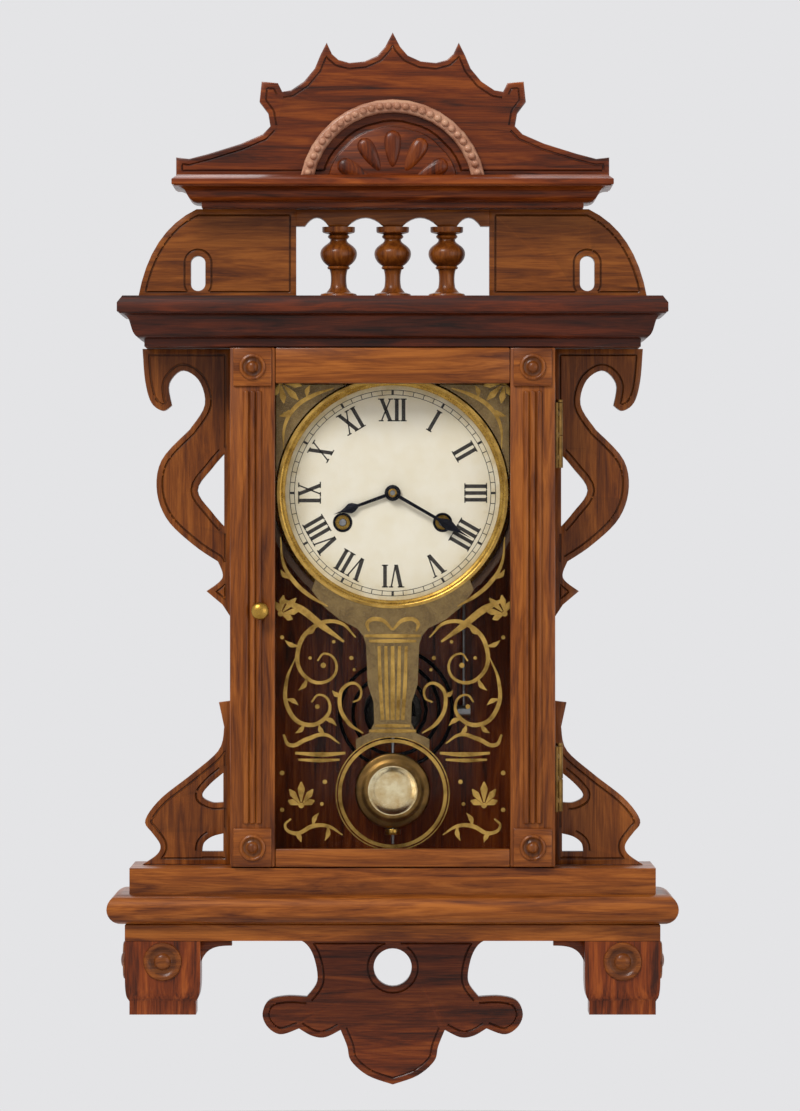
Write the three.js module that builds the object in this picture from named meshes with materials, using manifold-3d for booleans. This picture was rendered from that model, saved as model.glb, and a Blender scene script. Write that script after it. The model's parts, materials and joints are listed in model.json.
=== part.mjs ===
// Ornate hanging kitchen clock: carved wooden case, glazed door, spring movement that strikes on a gong.
// Millimetres. X to the viewer's right, Y towards the wall, Z up.
// The origin is on the wall face of the backboard, straight behind the hand arbor.
// Depths are given as distances from the wall: "near" is the end next to the wall, "far" the front end.
import * as THREE from 'three';
import { mergeVertices } from 'three/addons/utils/BufferGeometryUtils.js';
import Module from 'manifold-3d';

const wasm = await Module();
wasm.setup();

// Clearances
const FIT = 0.3; // glued, screwed and seated faces
const RUN = 0.35; // turning and sliding pieces
const DOOR_CLEAR = 1; // door edges to cornice and base
const GLASS_CLEAR = 5; // tip of the hand arbor to the door glass

// Dial and hands
const DIAL_RADIUS = 86;
const DIAL_THICK = 1;
const DIAL_RIM = 4; // depth of the rim turned back towards the wall
const DIAL_HOLE = 4.6;
const WINDING_HOLE = 5;
const BEZEL_INNER = 73;
const BEZEL_WIDTH = 8;
const BEZEL_DEPTH = 4;
const HAND_GAP = 1.8;
const HAND_THICK = 1;
const MINUTE_HAND_LENGTH = 62;
const HOUR_HAND_LENGTH = 43;
const HAND_WIDTH = 7;
const MINUTE_HAND_TURN = 120; // degrees clockwise from twelve: twenty past eight
const HOUR_HAND_TURN = 250;
const NUT_HEIGHT = 2.4;
const NUT_RADIUS = 3.2;

// Carcass
const DIAL_MARGIN = 12; // dial rim to the side boards
const DIAL_HEADROOM = 13; // dial rim to the cornice
const FLOOR_CLEAR = 13.5; // end of the pendulum rod to the case floor
const BACK_THICK = 12;
const SIDE_THICK = 12;
const HANGER_WIDTH = 36;
const HANGER_HEIGHT = 48;
const HANGER_THICK = 2;
const HANGER_DROP = 46; // cornice to the middle of the hanger plate
const NAIL_ROOM = 5; // pocket for the nail's head behind the plate
const KEYHOLE_RADIUS = 6;
const KEYHOLE_SLOT = 4;

// Mouldings
const LOWER_CORNICE_HEIGHT = 34;
const LOWER_CORNICE_HALF_WIDTH = 186;
const LOWER_CORNICE_INSET = 18;
const UPPER_CORNICE_HEIGHT = 21.5;
const UPPER_CORNICE_HALF_WIDTH = 150;
const UPPER_CORNICE_INSET = 20;
const UPPER_CORNICE_HALF_DEPTH = 46;
const BASE_HEIGHT = 49;
const BASE_HALF_WIDTH = 193;
const BASE_TORUS = 10;
const BASE_FOOT_HEIGHT = 11.5; // underside of the base to the torus
const BASE_FOOT_INSET = 12;
const BASE_STEP = 15; // fascia above the torus, behind the torus
const FRONT_REACH = 14; // cornice and base in front of the door

// Fretwork, gallery and crest
const FRET_THICK = 14;
const FRET_NEAR = 48; // wall to the back of the fretwork boards
const GALLERY_HEIGHT = 61.5;
const SPINDLE_SPACING = 37;
const SPINDLE_RADIUS = 12.5;
const GALLERY_RAIL = 12; // arcaded rail above the spindles
const SHOULDER_INNER = 66;
const SHOULDER_TOP = 134;
const SHOULDER_LIP = 12; // cornice edge to the foot of the shoulder
const SLOT_OFFSET = 133;
const SLOT_WIDTH = 10;
const SLOT_HEIGHT = 24;
const CREST_HEIGHT = 99;
const CREST_INSET = 2;
const ARCH_RADIUS = 64;
const ARCH_WIDTH = 9;
const ARCH_SINK = 11; // centre of the arch below the top of the upper cornice
const ARCH_DEPTH = 8;
const FAN_RADIUS = 45;
const FAN_DEPTH = 5;
const FAN_PETALS = 5;
const EAR_DROP = 184;
const EAR_INSET = 15; // widest edge of the cornice to the top of the ear
const WING_HEIGHT = 112;
const WING_INSET = 7; // base fascia to the foot of the wing
const BLOCK_WIDTH = 51;
const BLOCK_DEPTH = 46;
const BLOCK_HEIGHT = 50;
const BLOCK_TAPER = 3;
const BRACKET_REACH = 21; // block to the tip of its bracket under the base
const BRACKET_DROP = 15;
const APRON_DROP = 101;
const APRON_HALF_WIDTH = 89;
const APRON_HOLE_RADIUS = 13;
const APRON_HOLE_DROP = 21;

// Door, hinges and latch
const DOOR_THICK = 18;
const TOP_RAIL = 24;
const BOTTOM_RAIL = 12;
const REBATE = 6; // cover of the frame over the glass
const GLASS_THICK = 2.3;
const GLASS_BED = 2.7; // putty bed behind the glass
const STILE_WALL = 1.6; // wood between the latch bore and the glass rebate
const HINGE_INSET = 60; // end of the case to the middle of a hinge
const LEAF_HEIGHT = 44;
const LEAF_THICK = 1.5;
const CASE_LEAF = 22;
const DOOR_LEAF = 15;
const KNUCKLE_RADIUS = 2.7;
const KNUCKLE_GAP = 0.5;
const PIN_RADIUS = 1.3;
const PIN_HEAD = 2;
const LATCH_Z = -80;
const SHAFT_RADIUS = 2;
const TONGUE_LENGTH = 6;
const TONGUE_WIDTH = 4.4;
const TONGUE_THICK = 1.5;
const KEEPER_THICK = 1.2;
const KEEPER_HEIGHT = 16;
const KEEPER_LIP = 3.5;
const KNOB_RADIUS = 6;
const KNOB_LENGTH = 12;

// Movement frame
const FOOT_LENGTH = 34; // backboard to the back plate
const FOOT_RADIUS = 4;
const FOOT_X = 30;
const PLATE_THICK = 2;
const PLATE_GAP = 26;
const PLATE_HALF_WIDTH = 60;
const PLATE_HEAD = 8; // verge to the top of the plates
const PLATE_BOTTOM = -62;
const PILLAR_RADIUS = 3;
const POST_MARGIN = 6; // plate edges to the pillars and feet
const DIAL_FOOT = 9;
const DIAL_FOOT_INSET = 13;
const PIVOT_RADIUS = 0.95; // third and escape arbors
const CENTRE_ARBOR_RADIUS = 1.6;
const VERGE_ARBOR_RADIUS = 1.2;
const PIVOT_SINK = 0.4; // pivot ends below the outer faces of the plates
const STUD_RADIUS = 1.1;
const PIPE_WALL = 1.2;

// Wheels: counts of teeth and tooth sizes
const CANNON_TEETH = 12;
const MINUTE_TEETH = 36;
const MINUTE_PINION_TEETH = 10;
const HOUR_TEETH = 40;
const MOTION_CENTRES = 15;
const MOTION_TURN = -60; // degrees from +X to the minute wheel stud
const CENTRE_TEETH = 48;
const THIRD_PINION_TEETH = 6;
const CENTRE_MODULE = 0.7;
const THIRD_TEETH = 60;
const ESCAPE_PINION_TEETH = 6;
const THIRD_MODULE = 0.55;
const ESCAPE_TEETH = 45;
const ESCAPE_RADIUS = 15;
const ESCAPE_TOOTH = 2.6;
const THIRD_TURN = 116.5; // degrees from +X to the third wheel
const GREAT_TEETH = 48;
const CENTRE_PINION_TEETH = 15;
const WHEEL_THICK = 1.6;
const PINION_THICK = 3;
const LAYER_GAP = 1.2;
const WINDER_X = 34;
const WINDER_Z = -20;
const WINDER_RADIUS = 2.4;
const SPRING_THICK = 0.8;
const SPRING_PITCH = 2.3;
const SPRING_TURNS = 5;

// Pendulum, verge, gong and hammer
const VERGE_RISE = 10; // escape wheel to the verge and the suspension pin above it
const PENDULUM_GAP = 10; // back plate to the middle of the pendulum rod
const PENDULUM_LENGTH = 262;
const ROD_RADIUS = 1.2;
const BOB_RADIUS = 26;
const BOB_HALF_THICK = 5;
const BOB_EDGE = 2.2;
const BOB_TRAVEL = 5;
const RATING_NUT_HEIGHT = 4;
const RATING_NUT_RADIUS = 5.5;
const STRIP_THICK = 0.5;
const STRIP_WIDTH = 5;
const STRIP_LENGTH = 13;
const PIN_CROSS = 0.8; // radius of the suspension pin
const COCK_HALF_WIDTH = 8;
const COCK_HEIGHT = 7;
const COCK_WALL = 2;
const CRUTCH_LENGTH = 36;
const CRUTCH_THICK = 1.5;
const CRUTCH_HALF_WIDTH = 1;
const FORK_CLEAR = 0.6; // fork to the pendulum rod
const FORK_HEIGHT = 3;
const PALLET_CLEAR = 2.5;
const PALLET_TURN = 50; // degrees each side of the top of the escape wheel
const GONG_Z = -150;
const GONG_DEPTH = 10; // backboard to the middle of the gong wire
const GONG_WIRE = 3;
const GONG_INNER = 14;
const GONG_PITCH = 9;
const GONG_TURNS = 3; // turns to where the hammer strikes
const GONG_TAIL = 0.25; // free end past the hammer, in turns
const GONG_BASE_THICK = 5;
const GONG_BASE_RADIUS = 20;
const GONG_POST_HALF_WIDTH = 2.6;
const GONG_POST_HEIGHT = 6;
const HAMMER_Z = -42;
const HAMMER_GAP = 2; // hammer head to the gong at rest
const HAMMER_HEAD_RADIUS = 4.5;
const HAMMER_HEAD_LENGTH = 9;
const HAMMER_ARM_RADIUS = 1.1;

// Facets
const FRET_STEPS = 4; // divisions of a curve between two points of a fretwork outline
const ROUND = 32; // sides of the large round pieces
const TURNED = 16; // sides of spindles and knobs
const THIN = 10; // sides of arbors and pins
const MERGE = 1e-4;

// Depths from the wall, worked out from the back forwards
const rearPlateNear = BACK_THICK + FIT + FOOT_LENGTH;
const rearPlateFar = rearPlateNear + PLATE_THICK;
const frontPlateNear = rearPlateFar + PLATE_GAP;
const frontPlateFar = frontPlateNear + PLATE_THICK;
const dialNear = frontPlateFar + DIAL_FOOT + FIT;
const dialFar = dialNear + DIAL_THICK;
const bezelNear = dialFar + FIT;
const hourHandNear = dialFar + HAND_GAP;
const hourHandFar = hourHandNear + HAND_THICK;
const minuteHandNear = hourHandFar + HAND_GAP;
const minuteHandFar = minuteHandNear + HAND_THICK;
const nutNear = minuteHandFar + FIT;
const arborFar = nutNear + NUT_HEIGHT;
const glassNear = arborFar + GLASS_CLEAR;
const glassFar = glassNear + GLASS_THICK;
const doorNear = glassNear - GLASS_BED;
const doorFar = doorNear + DOOR_THICK;
const caseFront = doorNear - FIT;
const mouldingFront = doorFar + FRONT_REACH;
const fretFar = FRET_NEAR + FRET_THICK;
const fretMiddle = FRET_NEAR + FRET_THICK / 2;
const pendulumDepth = rearPlateNear - PENDULUM_GAP;
const gongDepth = BACK_THICK + GONG_DEPTH;

// Depths of the wheels
const motionNear = frontPlateFar + LAYER_GAP;
const motionFar = motionNear + WHEEL_THICK;
const hourNear = motionFar + LAYER_GAP;
const hourFar = hourNear + WHEEL_THICK;
const greatNear = rearPlateFar + LAYER_GAP;
const greatFar = greatNear + WHEEL_THICK;
const thirdNear = greatFar + 2 * LAYER_GAP;
const escapeNear = thirdNear + WHEEL_THICK + 4 * LAYER_GAP;
const centreFar = frontPlateNear - LAYER_GAP;
const centreNear = centreFar - WHEEL_THICK;
const pivotNear = rearPlateNear + PIVOT_SINK;
const pivotFar = frontPlateFar - PIVOT_SINK;

const radians = (degrees) => THREE.MathUtils.degToRad(degrees);
const flat = (x, z) => new THREE.Vector2(x, z);

// Places of the wheels, seen from the front
const centre = flat(0, 0);
const stud = flat(Math.cos(radians(MOTION_TURN)), Math.sin(radians(MOTION_TURN)))
  .multiplyScalar(MOTION_CENTRES);
const thirdReach = CENTRE_MODULE * (CENTRE_TEETH + THIRD_PINION_TEETH) / 2;
const third = flat(Math.cos(radians(THIRD_TURN)), Math.sin(radians(THIRD_TURN))).multiplyScalar(thirdReach);
const escapeReach = THIRD_MODULE * (THIRD_TEETH + ESCAPE_PINION_TEETH) / 2;
const escape = flat(0, third.y + Math.sqrt(escapeReach ** 2 - third.x ** 2));
const timeWinder = flat(WINDER_X, WINDER_Z);
const strikeWinder = flat(-WINDER_X, WINDER_Z);
const suspensionZ = escape.y + ESCAPE_RADIUS + VERGE_RISE;
const verge = flat(0, suspensionZ);
const plateTop = suspensionZ + PLATE_HEAD;
const hammerX = GONG_INNER + GONG_PITCH * GONG_TURNS + GONG_WIRE / 2 + HAMMER_GAP + HAMMER_HEAD_LENGTH / 2;
const hammer = flat(hammerX, HAMMER_Z);

// Heights, from the hand arbor
const bobZ = suspensionZ - PENDULUM_LENGTH;
const nutTop = bobZ - BOB_RADIUS - FIT;
const rodEnd = nutTop - RATING_NUT_HEIGHT - BOB_TRAVEL - ROD_RADIUS;
const caseBottom = rodEnd - FLOOR_CLEAR;
const caseTop = DIAL_RADIUS + DIAL_HEADROOM;
const galleryBottom = caseTop + LOWER_CORNICE_HEIGHT;
const galleryTop = galleryBottom + GALLERY_HEIGHT;
const crestBottom = galleryTop + UPPER_CORNICE_HEIGHT;
const baseBottom = caseBottom - BASE_HEIGHT;
const doorTop = caseTop - DOOR_CLEAR;
const doorBottom = caseBottom + DOOR_CLEAR;

// Widths, from the middle
const innerFace = DIAL_RADIUS + DIAL_MARGIN;
const caseHalfWidth = innerFace + SIDE_THICK;
const keeperFace = innerFace - FIT - KEEPER_THICK;
const latchX = -(keeperFace - DOOR_CLEAR - TONGUE_LENGTH);
const rebateX = -latchX - SHAFT_RADIUS - RUN - STILE_WALL;
const openingX = rebateX - REBATE;
const sideSeat = caseHalfWidth + FIT;
const hingeX = sideSeat + KNUCKLE_RADIUS;
const hingeDepth = (caseFront + doorNear) / 2;

// A closed solid from a three.js geometry, faces out, shared corners merged.
function solid(geometry) {
  const bare = new THREE.BufferGeometry();
  bare.setAttribute('position', geometry.attributes.position);
  bare.setIndex(geometry.index);
  const merged = mergeVertices(bare, MERGE);
  const corner = (index) => new THREE.Vector3().fromBufferAttribute(merged.attributes.position, index);
  const triangles = [];
  let volume = 0;
  for (let i = 0; i < merged.index.count; i += 3) {
    const [a, b, c] = [0, 1, 2].map((step) => merged.index.getX(i + step));
    if (a === b || b === c || c === a) continue;
    triangles.push([a, b, c]);
    volume += corner(a).dot(corner(b).cross(corner(c)));
  }
  const outward = volume > 0 ? triangles : triangles.map(([a, b, c]) => [a, c, b]);
  return new wasm.Manifold(new wasm.Mesh({
    numProp: 3,
    vertProperties: new Float32Array(merged.attributes.position.array),
    triVerts: new Uint32Array(outward.flat()),
  }));
}

const join = (first, ...others) => others.reduce((sum, next) => sum.add(next), first);
const cut = (first, ...others) => others.reduce((rest, next) => rest.subtract(next), first);

function box(left, right, near, far, bottom, top) {
  const geometry = new THREE.BoxGeometry(right - left, far - near, top - bottom);
  geometry.translate((left + right) / 2, -(near + far) / 2, (bottom + top) / 2);
  return solid(geometry);
}

// The points of an outline without repeats, also where its end meets its start, in the wanted direction.
function tidyOutline(points, clockwise) {
  const apart = points.filter((point, i) => point.distanceTo(points[(i + 1) % points.length]) > FIT / 10);
  return THREE.ShapeUtils.isClockWise(apart) === clockwise ? apart : apart.reverse();
}

// A flat piece: its outline is drawn as seen from the front, and its thickness runs towards the front.
function board(shape, near, thick, steps = FRET_STEPS) {
  const drawn = shape.extractPoints(steps);
  const outline = new THREE.Shape(tidyOutline(drawn.shape, false));
  outline.holes = drawn.holes.map((hole) => new THREE.Path(tidyOutline(hole, true)));
  const geometry = new THREE.ExtrudeGeometry(outline, { depth: thick, bevelEnabled: false });
  geometry.rotateX(Math.PI / 2);
  geometry.translate(0, -near, 0);
  return solid(geometry);
}

// A piece turned about an axis that runs from the wall to the front; points are (radius, depth).
function turnedAcross(points, x, z, sides) {
  const profile = points.map(([radius, depth]) => flat(radius, -depth));
  const geometry = new THREE.LatheGeometry(profile, sides);
  geometry.translate(x, 0, z);
  return solid(geometry);
}

// A piece turned about an upright axis; points are (radius, height).
function turnedUp(points, x, depth, sides) {
  const geometry = new THREE.LatheGeometry(points.map(([radius, z]) => flat(radius, z)), sides);
  geometry.rotateX(Math.PI / 2);
  geometry.translate(x, -depth, 0);
  return solid(geometry);
}

// A stepped arbor: each step is (radius, far end).
function arbor(x, z, near, steps, sides = THIN) {
  const points = [[0, near]];
  let depth = near;
  for (const [radius, far] of steps) {
    points.push([radius, depth], [radius, far]);
    depth = far;
  }
  return turnedAcross([...points, [0, depth]], x, z, sides);
}

const rod = (radius, near, far, x, z, sides) => arbor(x, z, near, [[radius, far]], sides);
const post = (radius, bottom, top, x, depth, sides) =>
  turnedUp([[0, bottom], [radius, bottom], [radius, top], [0, top]], x, depth, sides);

// A round hole drawn in quarters, each with its own divisions
function disc(centre, radius) {
  const path = new THREE.Path();
  for (let quarter = 0; quarter < 4; quarter += 1) {
    path.absarc(centre.x, centre.y, radius, quarter * Math.PI / 2, (quarter + 1) * Math.PI / 2);
  }
  return path;
}

// An outline with two equal sides: runs of curve down the right to the middle, and back up the left
function mirrored(start, runs, at) {
  const shape = new THREE.Shape();
  const ends = [start, ...runs.map((run) => run[run.length - 1])];
  const draw = (run, side) => shape.splineThru(run.map(([across, down]) => at(side * across, down)));
  shape.moveTo(at(...start).x, at(...start).y);
  runs.forEach((run) => draw(run, 1));
  for (let i = runs.length - 1; i >= 0; i -= 1) {
    draw([...runs[i].slice(0, -1).reverse(), ends[i]], -1);
  }
  return shape;
}

function rectangle(left, right, bottom, top) {
  return new THREE.Shape([flat(left, bottom), flat(right, bottom), flat(right, top), flat(left, top)]);
}

// A moulded block: the profile's points are (outset, rise) and run round the front and the ends.
function moulding(profile, left, right, near, far, bottom, backOutset) {
  const corners = profile.flatMap(({ x: out, y: rise }) => {
    const front = -(far + out);
    const back = -(near - out * backOutset);
    const z = bottom + rise;
    return [left - out, front, z, right + out, front, z, right + out, back, z, left - out, back, z];
  });
  const last = (profile.length - 1) * 4;
  const faces = [0, 2, 1, 0, 3, 2, last, last + 1, last + 2, last, last + 2, last + 3];
  for (let level = 0; level < last; level += 4) {
    for (let k = 0; k < 4; k += 1) {
      const [a, b] = [level + k, level + ((k + 1) % 4)];
      faces.push(a, b, b + 4, a, b + 4, a + 4);
    }
  }
  const geometry = new THREE.BufferGeometry();
  geometry.setAttribute('position', new THREE.Float32BufferAttribute(corners, 3));
  geometry.setIndex(faces);
  return solid(geometry);
}

function piece(parent, name, shape, material) {
  const mesh = shape.getMesh();
  const geometry = new THREE.BufferGeometry();
  geometry.setAttribute('position', new THREE.BufferAttribute(mesh.vertProperties, 3));
  geometry.setIndex(new THREE.BufferAttribute(mesh.triVerts, 1));
  geometry.computeVertexNormals();
  const made = new THREE.Mesh(geometry, material);
  made.name = name;
  parent.add(made);
  return made;
}

const finish = (color, roughness, metalness) => (
  new THREE.MeshStandardMaterial({ color, roughness, metalness })
);
const walnut = () => finish('#6f3f1c', 0.42, 0);
const darkWalnut = () => finish('#4a2a1a', 0.45, 0);
const deal = () => finish('#8a6a45', 0.7, 0);
const brass = () => finish('#b08a3e', 0.3, 1);
const steel = () => finish('#8d8f92', 0.35, 1);
const bluedSteel = () => finish('#16161a', 0.4, 0.8);
const iron = () => finish('#3a3836', 0.6, 0.7);
const paper = () => finish('#f0e8d0', 0.75, 0);
const pane = () => finish('#cfd6d2', 0.08, 0);

const clock = new THREE.Group();

// Carcass: backboard with its hanger, and the two side boards
function addCarcass() {
  const carcass = new THREE.Group();
  const hangerZ = caseTop - HANGER_DROP;
  const pocket = (halfWidth, halfHeight, depth) =>
    box(-halfWidth, halfWidth, -FIT, depth, hangerZ - halfHeight, hangerZ + halfHeight);
  const platePocket = pocket(HANGER_WIDTH / 2, HANGER_HEIGHT / 2, HANGER_THICK + 2 * FIT);
  const nailPocket = pocket(2 * KEYHOLE_RADIUS, 2.5 * KEYHOLE_RADIUS, HANGER_THICK + NAIL_ROOM);
  const back = box(-caseHalfWidth, caseHalfWidth, 0, BACK_THICK, caseBottom + FIT, caseTop - FIT);
  piece(carcass, 'backboard', cut(back, platePocket, nailPocket), deal());

  const plate = rectangle(
    FIT - HANGER_WIDTH / 2, HANGER_WIDTH / 2 - FIT,
    hangerZ - HANGER_HEIGHT / 2 + FIT, hangerZ + HANGER_HEIGHT / 2 - FIT,
  );
  const slotTurn = Math.asin(KEYHOLE_SLOT / 2 / KEYHOLE_RADIUS);
  const keyhole = new THREE.Path();
  const slotTop = hangerZ + 2 * KEYHOLE_RADIUS;
  keyhole.absarc(
    0, hangerZ - KEYHOLE_RADIUS, KEYHOLE_RADIUS, Math.PI / 2 + slotTurn, 2.5 * Math.PI - slotTurn,
  );
  keyhole.absarc(0, slotTop, KEYHOLE_SLOT / 2, 0, Math.PI);
  plate.holes.push(keyhole);
  piece(carcass, 'hanger_plate', board(plate, FIT, HANGER_THICK), brass());

  for (const [name, side] of [['left', -1], ['right', 1]]) {
    const [left, right] = [side * innerFace, side * caseHalfWidth].sort((a, b) => a - b);
    const wall = box(left, right, BACK_THICK + FIT, caseFront, caseBottom + FIT, caseTop - FIT);
    piece(carcass, `side_board_${name}`, wall, walnut());
  }
  clock.add(carcass);
}

// Cornice profile from its foot up: fillet, ogee, fascia and a small chamfer
function corniceProfile(height, inset) {
  const profile = new THREE.Path();
  const [ogeeFoot, ogeeTop, fascia] = [0.15 * height, 0.65 * height, 0.86 * height];
  profile.moveTo(-inset, 0);
  profile.lineTo(-inset, ogeeFoot);
  profile.bezierCurveTo(-0.3 * inset, ogeeFoot, -0.7 * inset, ogeeTop, 0, ogeeTop);
  profile.lineTo(0, fascia);
  profile.lineTo(-0.2 * inset, height);
  return profile.getPoints(2 * FRET_STEPS);
}

// Base profile from its foot up: plinth, torus and fascia
function baseProfile() {
  const profile = new THREE.Path();
  profile.moveTo(-BASE_FOOT_INSET, 0);
  profile.lineTo(-BASE_FOOT_INSET, BASE_FOOT_HEIGHT);
  profile.absarc(-BASE_TORUS, BASE_FOOT_HEIGHT + BASE_TORUS, BASE_TORUS, -Math.PI / 2, Math.PI / 2);
  profile.lineTo(-BASE_STEP, BASE_FOOT_HEIGHT + 2 * BASE_TORUS);
  profile.lineTo(-BASE_STEP, BASE_HEIGHT);
  return profile.getPoints(FRET_STEPS);
}

// Drop block profile from its foot up: narrow foot swelling to the full block
function blockProfile() {
  const profile = new THREE.Path();
  profile.moveTo(-BLOCK_TAPER, 0);
  profile.lineTo(-BLOCK_TAPER, 0.2 * BLOCK_HEIGHT);
  profile.quadraticCurveTo(0, 0.2 * BLOCK_HEIGHT, 0, 0.5 * BLOCK_HEIGHT);
  profile.lineTo(0, BLOCK_HEIGHT - FIT);
  return profile.getPoints(FRET_STEPS);
}

// Bracket: a hollow quarter round in the corner between a drop block and the base
function bracketShape(side) {
  const inner = BASE_HALF_WIDTH - BASE_FOOT_INSET - BLOCK_WIDTH;
  const tip = inner - BRACKET_REACH;
  const top = baseBottom - FIT;
  const bottom = top - BRACKET_DROP;
  const shape = new THREE.Shape();
  shape.moveTo(side * (inner + FIT), top);
  shape.lineTo(side * tip, top);
  shape.lineTo(side * tip, top - BRACKET_DROP / 4);
  shape.quadraticCurveTo(side * (inner - BRACKET_DROP / 4), top - BRACKET_DROP / 4, side * inner, bottom);
  shape.lineTo(side * (inner + FIT), bottom);
  return shape;
}

function addMouldings() {
  const mouldings = new THREE.Group();
  const lower = moulding(
    corniceProfile(LOWER_CORNICE_HEIGHT, LOWER_CORNICE_INSET),
    -LOWER_CORNICE_HALF_WIDTH, LOWER_CORNICE_HALF_WIDTH, 0, mouldingFront, caseTop, 0,
  );
  piece(mouldings, 'lower_cornice', lower, walnut());
  const upper = moulding(
    corniceProfile(UPPER_CORNICE_HEIGHT, UPPER_CORNICE_INSET),
    -UPPER_CORNICE_HALF_WIDTH, UPPER_CORNICE_HALF_WIDTH,
    fretMiddle - UPPER_CORNICE_HALF_DEPTH, fretMiddle + UPPER_CORNICE_HALF_DEPTH, galleryTop, 1,
  );
  piece(mouldings, 'upper_cornice', upper, walnut());
  const base = moulding(
    baseProfile(), -BASE_HALF_WIDTH, BASE_HALF_WIDTH, 0, mouldingFront, baseBottom, 0,
  );
  piece(mouldings, 'base_moulding', base, walnut());

  const blockOuter = BASE_HALF_WIDTH - BASE_FOOT_INSET;
  const blockFar = mouldingFront - BASE_FOOT_INSET;
  for (const [name, side] of [['left', -1], ['right', 1]]) {
    const [left, right] = [side * blockOuter, side * (blockOuter - BLOCK_WIDTH)].sort((a, b) => a - b);
    const block = moulding(
      blockProfile(), left, right, blockFar - BLOCK_DEPTH, blockFar, baseBottom - BLOCK_HEIGHT, 1,
    );
    const bracket = board(bracketShape(side), blockFar - (BLOCK_DEPTH + FRET_THICK) / 2, FRET_THICK);
    piece(mouldings, `corner_block_${name}`, join(block, bracket), darkWalnut());
  }
  clock.add(mouldings);
}

// Gallery shoulder: a rounded fretwork bracket with a slot pierced near its outer end
function galleryShoulderShape(side) {
  const bottom = galleryBottom + FIT;
  const top = galleryTop - FIT;
  const foot = LOWER_CORNICE_HALF_WIDTH - SHOULDER_LIP;
  const rise = top - bottom;
  const shape = new THREE.Shape();
  shape.moveTo(side * SHOULDER_INNER, bottom);
  shape.lineTo(side * foot, bottom);
  const bulge = 0.8 * foot + 0.2 * SHOULDER_TOP;
  shape.quadraticCurveTo(side * bulge, bottom + 0.75 * rise, side * SHOULDER_TOP, top);
  shape.lineTo(side * SHOULDER_INNER, top);
  const slotMiddle = bottom + SLOT_HEIGHT / 2;
  const slot = new THREE.Path();
  const low = slotMiddle - SLOT_HEIGHT / 2 + SLOT_WIDTH;
  const high = low + SLOT_HEIGHT - SLOT_WIDTH;
  slot.absarc(side * SLOT_OFFSET, low, SLOT_WIDTH / 2, Math.PI, 2 * Math.PI);
  slot.absarc(side * SLOT_OFFSET, high, SLOT_WIDTH / 2, 0, Math.PI);
  shape.holes.push(slot);
  return shape;
}

// Turned spindle: a foot, a slim stem that swells to a ball, a neck and a cap, in shares of its height
function spindle() {
  const bottom = galleryBottom + FIT;
  const height = GALLERY_HEIGHT - GALLERY_RAIL - 2 * FIT;
  const at = (radius, rise) => [radius * SPINDLE_RADIUS, bottom + rise * height];
  return turnedUp([
    at(0, 0), at(1, 0), at(1, 0.07), at(0.62, 0.11), at(0.45, 0.18), at(0.42, 0.32), at(0.52, 0.42),
    at(0.84, 0.52), at(1, 0.62), at(0.92, 0.7), at(0.6, 0.77), at(0.45, 0.82), at(0.5, 0.88),
    at(0.85, 0.92), at(0.9, 1), at(0, 1),
  ], 0, fretMiddle, TURNED);
}

// Rail above the spindles: its lower edge is an arcade with one arch in each bay
function galleryRailShape() {
  const top = galleryTop - FIT;
  const bottom = galleryTop - GALLERY_RAIL;
  const end = SHOULDER_INNER - FIT;
  const stops = [-end, -SPINDLE_SPACING, 0, SPINDLE_SPACING, end];
  const shape = new THREE.Shape();
  shape.moveTo(end, top);
  shape.lineTo(-end, top);
  shape.lineTo(-end, bottom);
  stops.slice(1).forEach((stop, bay) => {
    const flatEnd = SPINDLE_RADIUS / 2;
    const [from, to] = [stops[bay] + flatEnd, stop - flatEnd];
    shape.lineTo(from, bottom);
    shape.quadraticCurveTo((from + to) / 2, bottom + GALLERY_RAIL, to, bottom);
  });
  shape.lineTo(end, bottom);
  return shape;
}

function addGallery() {
  const gallery = new THREE.Group();
  const fine = 2 * FRET_STEPS;
  for (const [name, side] of [['left', -1], ['right', 1]]) {
    const shoulder = board(galleryShoulderShape(side), FRET_NEAR, FRET_THICK, fine);
    piece(gallery, `gallery_shoulder_${name}`, shoulder, walnut());
  }
  for (const place of [-1, 0, 1]) {
    const turned = piece(gallery, `gallery_spindle_${place + 2}`, spindle(), walnut());
    turned.position.x = place * SPINDLE_SPACING;
  }
  piece(gallery, 'gallery_rail', board(galleryRailShape(), FRET_NEAR, FRET_THICK, fine), walnut());
  clock.add(gallery);
}

// Crest: five spikes on a stepped ridge that sweeps down to two horns, in shares of its half width and height
function crestShape() {
  const halfWidth = UPPER_CORNICE_HALF_WIDTH - CREST_INSET;
  const half = [
    [0, 1], [0.035, 0.9], [0.07, 0.84], [0.13, 0.8], [0.2, 0.79], [0.25, 0.81], [0.28, 0.85],
    [0.305, 0.93], [0.335, 0.84], [0.36, 0.75], [0.41, 0.66], [0.47, 0.6], [0.51, 0.59], [0.53, 0.65],
    [0.605, 0.66], [0.615, 0.52], [0.575, 0.44], [0.565, 0.35], [0.6, 0.295], [0.7, 0.23], [0.85, 0.16],
    [0.94, 0.125], [1, 0.135], [1, 0],
  ];
  const at = ([across, rise], side) => flat(
    side * across * halfWidth, crestBottom + FIT + rise * (CREST_HEIGHT - FIT),
  );
  const right = half.map((share) => at(share, 1));
  const left = half.slice(1).reverse().map((share) => at(share, -1));
  return new THREE.Shape([...right, ...left]);
}

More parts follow.
